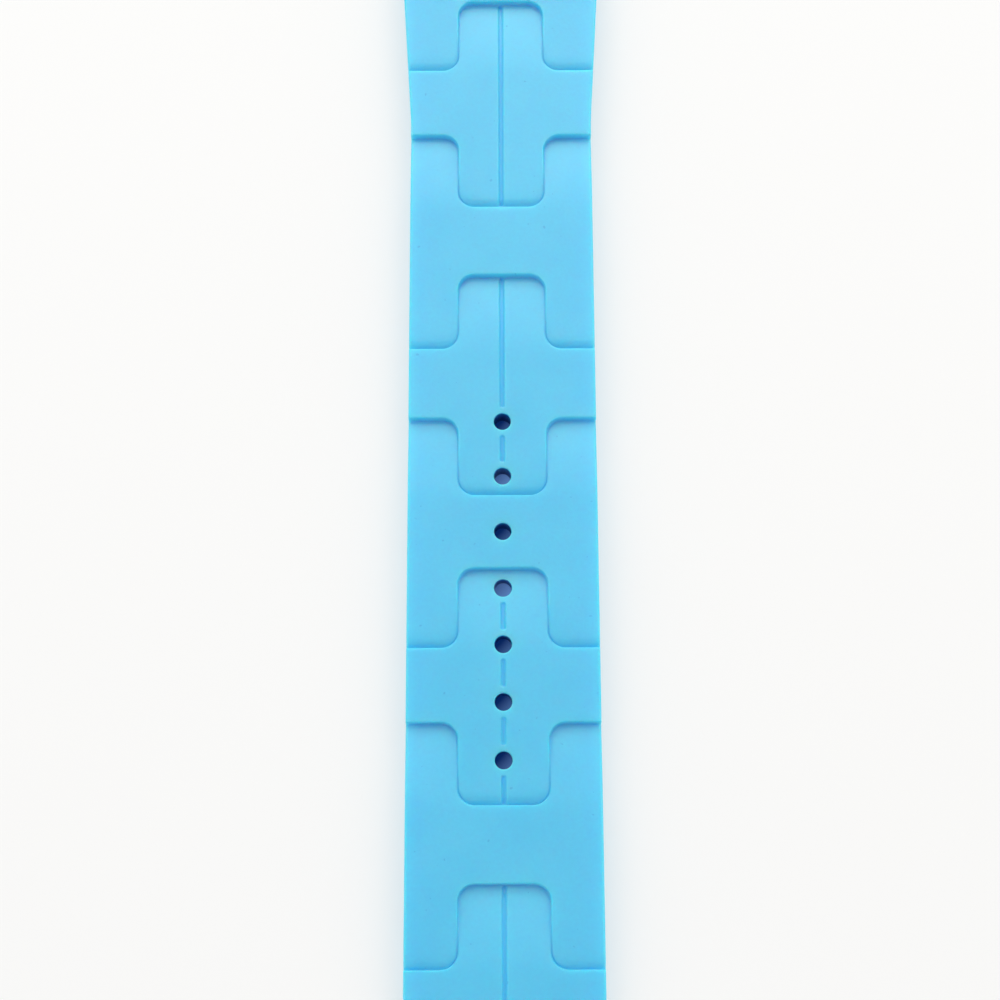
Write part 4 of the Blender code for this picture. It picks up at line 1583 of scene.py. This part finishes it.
@dataclass
class Buckle:
    """Pin buckle: a bowed steel U and the tongue that lies in its notch, in millimetres about its bar."""

    place: Matrix
    inner: float = 21.1
    arm: float = 2.2
    boss: float = 1.5
    window: float = 10.0
    front: float = 3.6
    bow: float = 0.7
    rise: float = 1.8
    front_height: float = 2.4
    corner: float = 3.2
    edge: float = 0.42
    notch_side: float = 1.3
    notch_depth: float = 0.5
    pin_hole: float = 0.48
    prong_width: float = 1.8
    prong_thickness: float = 1.1
    prong_eye: float = 1.57
    prong_bore: float = 0.97
    prong_overhang: float = 0.6
    prong_edge: float = 0.2
    seat: float = 0.1
    bend: float = 2.2
    notch_slope: float = 0.12

    BOSS_TURNS = (4, 12, 22, 34, 48, 64, 90)
    SIDE_STOPS = 14
    CORNER_STOPS = 15
    FRONT_STOPS = (0.12, 0.25, 0.4, 0.55, 0.68, 0.78, 0.85)
    EDGE_SHARE = 0.45
    EDGE_STEPS = 5
    PIN_HOLE_SIDES = 40
    EYE_TURN = 0.99
    PRONG_STEP = 0.4
    PRONG_EDGE_STEPS = 3
    ON_ITS_SIDE = Matrix(((0, 0, 1, 0), (1, 0, 0, 0), (0, 1, 0, 0), (0, 0, 0, 1)))

    def heights(self, along: float) -> tuple[float, float]:
        """Lowest and highest point of the U's side at a place along it.

        Args:
            along: Distance from the bar.

        Returns:
            Both heights.
        """
        elbow, end = self.window / 2, self.window + self.front + self.bow
        if along < 0.0:
            half = math.sqrt(max(self.boss**2 - along**2, 0.0))
            return -half, half
        past = along - elbow
        if past < -self.bend:
            slid = 0.0
        elif past > self.bend:
            slid = past
        else:
            slid = (past + self.bend) ** 2 / (4 * self.bend)
        share = slid / (end - elbow)
        low = -self.boss + share * (self.rise - self.front_height / 2 + self.boss)
        high = self.boss + share * (self.rise + self.front_height / 2 - self.boss)
        return low, high

    def stations(self) -> list[tuple[Vector, Vector]]:
        """Pairs of inner and outer points along the left half of the U, from its boss to the middle.

        Returns:
            The pairs, seen from above.
        """
        inner, outer = self.inner / 2, self.inner / 2 + self.arm
        pairs = []
        for turn in np.radians(self.BOSS_TURNS):
            along = -self.boss * math.cos(turn)
            pairs.append((Vector((-inner, along)), Vector((-outer, along))))
        small, large = self.corner / 2, self.corner
        for share in np.linspace(0.0, 1.0, self.SIDE_STOPS)[1:]:
            pairs.append((Vector((-inner, share * (self.window - small))),
                          Vector((-outer, share * (self.window + self.front - large)))))
        for turn in np.linspace(0.0, math.pi / 2, self.CORNER_STOPS)[1:]:
            way = Vector((-math.cos(turn), math.sin(turn)))
            pairs.append((Vector((-inner + small, self.window - small)) + small * way,
                          Vector((-outer + large, self.window + self.front - large)) + large * way))
        start_in, start_out = pairs[-1][0].x, pairs[-1][1].x
        front = self.window + self.front
        side, slope = -self.notch_side, self.notch_slope
        notch = tuple(1 + x / -start_out for x in (side - slope, side, side + slope, 0.0))
        for share in self.FRONT_STOPS + notch:
            left = 1 - share
            bowed = front + self.bow * (1 - left ** 2)
            pairs.append((Vector((start_in * left, self.window)), Vector((start_out * left, bowed))))
        return pairs

    def section(self, inner: Vector, outer: Vector) -> list[Vector]:
        """Rounded section of the U between an inner and an outer point.

        Args:
            inner: Point on the window's side.
            outer: Point on the outside.

        Returns:
            Points round the section.
        """
        width = (outer - inner).length
        middle = (inner + outer) / 2
        low, high = self.heights(middle.y)
        turn = min(self.edge, self.EDGE_SHARE * (high - low), self.EDGE_SHARE * width)
        sunk = 0.0
        if middle.y > self.window:
            past = (abs(middle.x) - self.notch_side) / self.notch_slope
            sunk = self.notch_depth * (1.0 - min(max(past, 0.0), 1.0))
        points = []
        far = width - turn
        for across, up, start in ((far, turn, -90), (far, -turn, 0), (turn, -turn, 90), (turn, turn, 180)):
            for step in range(self.EDGE_STEPS + 1):
                angle = math.radians(start + 90 * step / self.EDGE_STEPS)
                spot = inner.lerp(outer, (across + turn * math.cos(angle)) / width)
                floor, roof = self.heights(spot.y)
                base = floor if up > 0 else roof - sunk
                points.append(Vector((spot.x, spot.y, base + up + turn * math.sin(angle))))
        return points

    def frame_mesh(self) -> bpy.types.Mesh:
        """Mesh of the U, swept from boss to boss, with its pin holes.

        Returns:
            The mesh, in the buckle's own frame.
        """
        left = self.stations()
        right = [(Vector((-a.x, a.y)), Vector((-b.x, b.y))) for a, b in reversed(left[:-1])]
        rings = [self.section(inner, outer) for inner, outer in left + right]
        count = len(rings[0])
        points = [tuple(point) for ring_points in rings for point in ring_points]
        faces = [tuple(range(count)), tuple(range(len(points) - 1, len(points) - count - 1, -1))]
        for index in range(len(rings) - 1):
            here, after = index * count, (index + 1) * count
            for i in range(count):
                j = (i + 1) % count
                faces.append((here + i, here + j, after + j, after + i))
        mesh = mesh_from("buckle_frame_fine", points, faces)
        clean(mesh)
        hole = round_bar("buckle_pin_hole", self.pin_hole, 2 * self.inner, LYING, self.PIN_HOLE_SIDES)
        return cut(mesh, [hole])

    def prong_mesh(self) -> bpy.types.Mesh:
        """Mesh of the tongue with its eye, all edges rounded.

        Returns:
            The mesh, in the buckle's own frame.
        """
        rest = self.rise + self.front_height / 2 - self.notch_depth + self.seat
        tip = self.window + self.front + self.bow + self.prong_overhang
        eye, thick, knee = self.prong_eye, self.prong_thickness, self.window / 2
        turn, top = eye * self.EYE_TURN, rest + thick
        corners = [(-eye, eye, turn), (-eye, -eye, turn), (eye, -eye, turn), (eye, eye - thick, 0.0),
                   (knee, rest, knee), (tip, rest, thick / 4), (tip, top, thick / 2), (knee, top, knee)]
        side = rounded_loop(corners, self.PRONG_STEP)
        curve = bpy.data.curves.new("buckle_tongue_fine", "CURVE")
        curve.dimensions = "2D"
        curve.fill_mode = "BOTH"
        curve.extrude = self.prong_width / 2 - self.prong_edge
        curve.bevel_depth = self.prong_edge
        curve.bevel_resolution = self.PRONG_EDGE_STEPS
        curve.offset = -self.prong_edge
        for loop in (side, ring(0.0, 0.0, self.prong_bore)):
            spline = curve.splines.new("POLY")
            spline.points.add(len(loop) - 1)
            for point, (x, y) in zip(spline.points, loop):
                point.co = (x, y, 0.0, 1.0)
            spline.use_cyclic_u = True
        flat = bpy.data.objects.new(curve.name, curve)
        bpy.context.scene.collection.objects.link(flat)
        mesh = settled(flat)
        mesh.transform(self.ON_ITS_SIDE)
        return mesh

    def dress(self, frame_steel: bpy.types.Material, prong_steel: bpy.types.Material) -> None:
        """Make the U and the tongue and hand them to the frame.

        Args:
            frame_steel: Finish of the U.
            prong_steel: Finish of the tongue.
        """
        made = ((self.frame_mesh(), frame_steel, "buckle", "buckle_frame"),
                (self.prong_mesh(), prong_steel, "tongue", "buckle_tongue"))
        for mesh, steel, body, node in made:
            clean(mesh)
            mesh.transform(self.place)
            hand_over(piece_of("fine_" + node, mesh, steel), body, "steel", node)


@dataclass(frozen=True)
class Lamp:
    """Soft lamp: power in watts, sides and place in metres."""

    name: str
    power: float
    sides: tuple[float, float]
    place: Place
    colour: Rgb = (1.0, 0.985, 0.92)


@dataclass
class Studio:
    """White table, soft light from the photograph's upper side, and the photograph's camera.

    The camera's lengths and the table's gap are in millimetres, the lamps and the table's side in metres.
    """

    lug_bar: Vector
    focal_px: float = 1569.0
    image_px: float = 1000.0
    distance: float = 167.2
    tilt_deg: float = 11.0
    roll_deg: float = -0.23
    centre_along: float = 72.16
    centre_across: float = -0.275
    strap_top: float = 3.4
    fill: Rgb = (0.94, 0.94, 0.94)
    camera_shade: Rgb = (0.05, 0.055, 0.08)
    shade_way: Place = (0.0, -0.47, 0.883)
    shade_range: tuple[float, float] = (0.78, 0.93)
    lamps: tuple[Lamp, ...] = (Lamp("window_panel", 8.0, (1.15, 0.85), (0.0, 0.80, 0.60)),)
    lamp_aim: Place = (0.0, -0.04, 0.0)
    table_side: float = 3.0
    table_gap: float = 0.02
    clip_start: float = 5.0

    def table(self) -> None:
        """White table top under the strap."""
        half, low = self.table_side / 2, -self.table_gap * MM
        corners = [(-half, -half, low), (half, -half, low), (half, half, low), (-half, half, low)]
        mesh = mesh_from("table_top", corners, [(0, 1, 2, 3)])
        piece_of("table_top", mesh, TableFinish().material())

    def surroundings(self) -> None:
        """Even white room, dim where the camera is held."""
        world = bpy.data.worlds.new("white_room")
        world.use_nodes = True
        tree = world.node_tree
        sky = tree.nodes.new("ShaderNodeTexCoord")
        facing = tree.nodes.new("ShaderNodeVectorMath")
        facing.operation = "DOT_PRODUCT"
        facing.inputs[1].default_value = self.shade_way
        level = tree.nodes.new("ShaderNodeMapRange")
        level.interpolation_type = "SMOOTHSTEP"
        for title, value in zip(("From Min", "From Max"), self.shade_range):
            level.inputs[title].default_value = value
        mix = tree.nodes.new("ShaderNodeMix")
        mix.data_type = "RGBA"
        colours = [socket for socket in mix.inputs if socket.type == "RGBA"]
        for socket, colour in zip(colours, (self.fill, self.camera_shade)):
            socket.default_value = (*colour, 1.0)
        result = next(socket for socket in mix.outputs if socket.type == "RGBA")
        tree.links.new(sky.outputs["Generated"], facing.inputs[0])
        tree.links.new(facing.outputs["Value"], level.inputs["Value"])
        tree.links.new(level.outputs["Result"], mix.inputs[0])
        tree.links.new(result, tree.nodes["Background"].inputs["Color"])
        bpy.context.scene.world = world

    def light(self) -> None:
        """Soft lamps past the lug end."""
        for lamp in self.lamps:
            light = bpy.data.lights.new(lamp.name, "AREA")
            light.energy = lamp.power
            light.color = lamp.colour
            light.shape = "RECTANGLE"
            light.size, light.size_y = lamp.sides
            holder = bpy.data.objects.new(lamp.name, light)
            way = Vector(self.lamp_aim) - Vector(lamp.place)
            turn = way.to_track_quat("-Z", "Y").to_matrix().to_4x4()
            holder.matrix_world = Matrix.Translation(lamp.place) @ turn
            bpy.context.scene.collection.objects.link(holder)

    def camera(self) -> None:
        """Camera above the long half, tilted towards its lug end."""
        data = bpy.data.cameras.new("photo_camera")
        data.sensor_fit = "HORIZONTAL"
        data.angle = 2 * math.atan(self.image_px / 2 / self.focal_px)
        data.clip_start = self.clip_start * MM
        holder = bpy.data.objects.new("photo_camera", data)
        aim = Vector((self.centre_across, self.lug_bar.y / MM - self.centre_along, self.strap_top)) * MM
        tilt = Matrix.Rotation(math.radians(self.tilt_deg), 4, "X")
        roll = Matrix.Rotation(math.radians(self.roll_deg), 4, "Z")
        back = Matrix.Translation((0.0, 0.0, self.distance * MM))
        holder.matrix_world = Matrix.Translation(aim) @ (tilt @ roll) @ back
        bpy.context.scene.collection.objects.link(holder)
        bpy.context.scene.camera = holder

    def set_up(self) -> None:
        """Put table, surroundings, light and camera in place."""
        self.table()
        self.surroundings()
        self.light()
        self.camera()
        bpy.context.scene.view_settings.view_transform = "Standard"


def middle_of(node: str) -> Vector:
    """Middle of a node's box, in metres."""
    low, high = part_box(node)
    return (low + high) / 2


def main() -> None:
    """Build every piece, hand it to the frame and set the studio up."""
    logging.basicConfig(level=logging.INFO, format="%(name)s %(message)s")
    long_bar, short_bar, buckle_bar = (middle_of(f"{name}_bar_tube")
                                       for name in ("long", "short", "buckle"))
    slide = next(joint for joint in frame["joints"] if joint["name"] == "keeper_slide")["axis"]
    lean = Matrix.Rotation(math.atan2(-slide[2], -slide[1]), 4, "X")
    drop = Matrix.Rotation(BUCKLE_DROP, 4, "X")
    long_place = Matrix.Translation(long_bar) @ Matrix.Rotation(math.pi, 4, "Z") @ TO_METRES
    long_bar_place = Matrix.Translation(long_bar) @ TO_METRES
    short_place = Matrix.Translation(short_bar) @ lean @ TO_METRES
    buckle_place = Matrix.Translation(buckle_bar) @ drop @ TO_METRES

    silicone = SiliconeFinish().material()
    frame_steel = SteelFinish("buckle_steel", Grain.ALONG_X).material()
    prong_steel = SteelFinish("tongue_steel", Grain.ALONG_Y, roughness=0.2).material()
    bar_steel = SteelFinish("turned_steel", Grain.TURNED, roughness=0.28).material()

    holes = tuple(FIRST_HOLE + HOLE_PITCH * index for index in range(HOLE_COUNT))
    StrapHalf("long_half_moulding", "strap_long", "long_half", plates=4, far_end=FarEnd.TAIL, end=131.0,
              place=long_place, holes=holes).dress(silicone)
    StrapHalf("buckle_half_moulding", "strap_short", "short_half", plates=2, far_end=FarEnd.BUCKLE,
              end=76.0, place=short_place, end_width=20.0).dress(silicone)
    Keeper("fixed_loop", "keeper_fixed", "short_half", start=60.0, place=short_place,
           pegged=True).dress(silicone)
    Keeper("free_loop", "keeper_free", "free_keeper", start=52.5, place=short_place).dress(silicone)
    Buckle(buckle_place).dress(frame_steel, prong_steel)
    SpringBar("long_bar", "long_bar", "long", span=22.0, place=long_bar_place).dress(bar_steel)
    SpringBar("short_bar", "short_bar", "short", span=22.0, place=short_place).dress(bar_steel)
    SpringBar("buckle_bar", "buckle", "buckle", span=20.9, place=buckle_place).dress(bar_steel)

    Studio(long_bar).set_up()


if __name__ == "__main__":
    main()
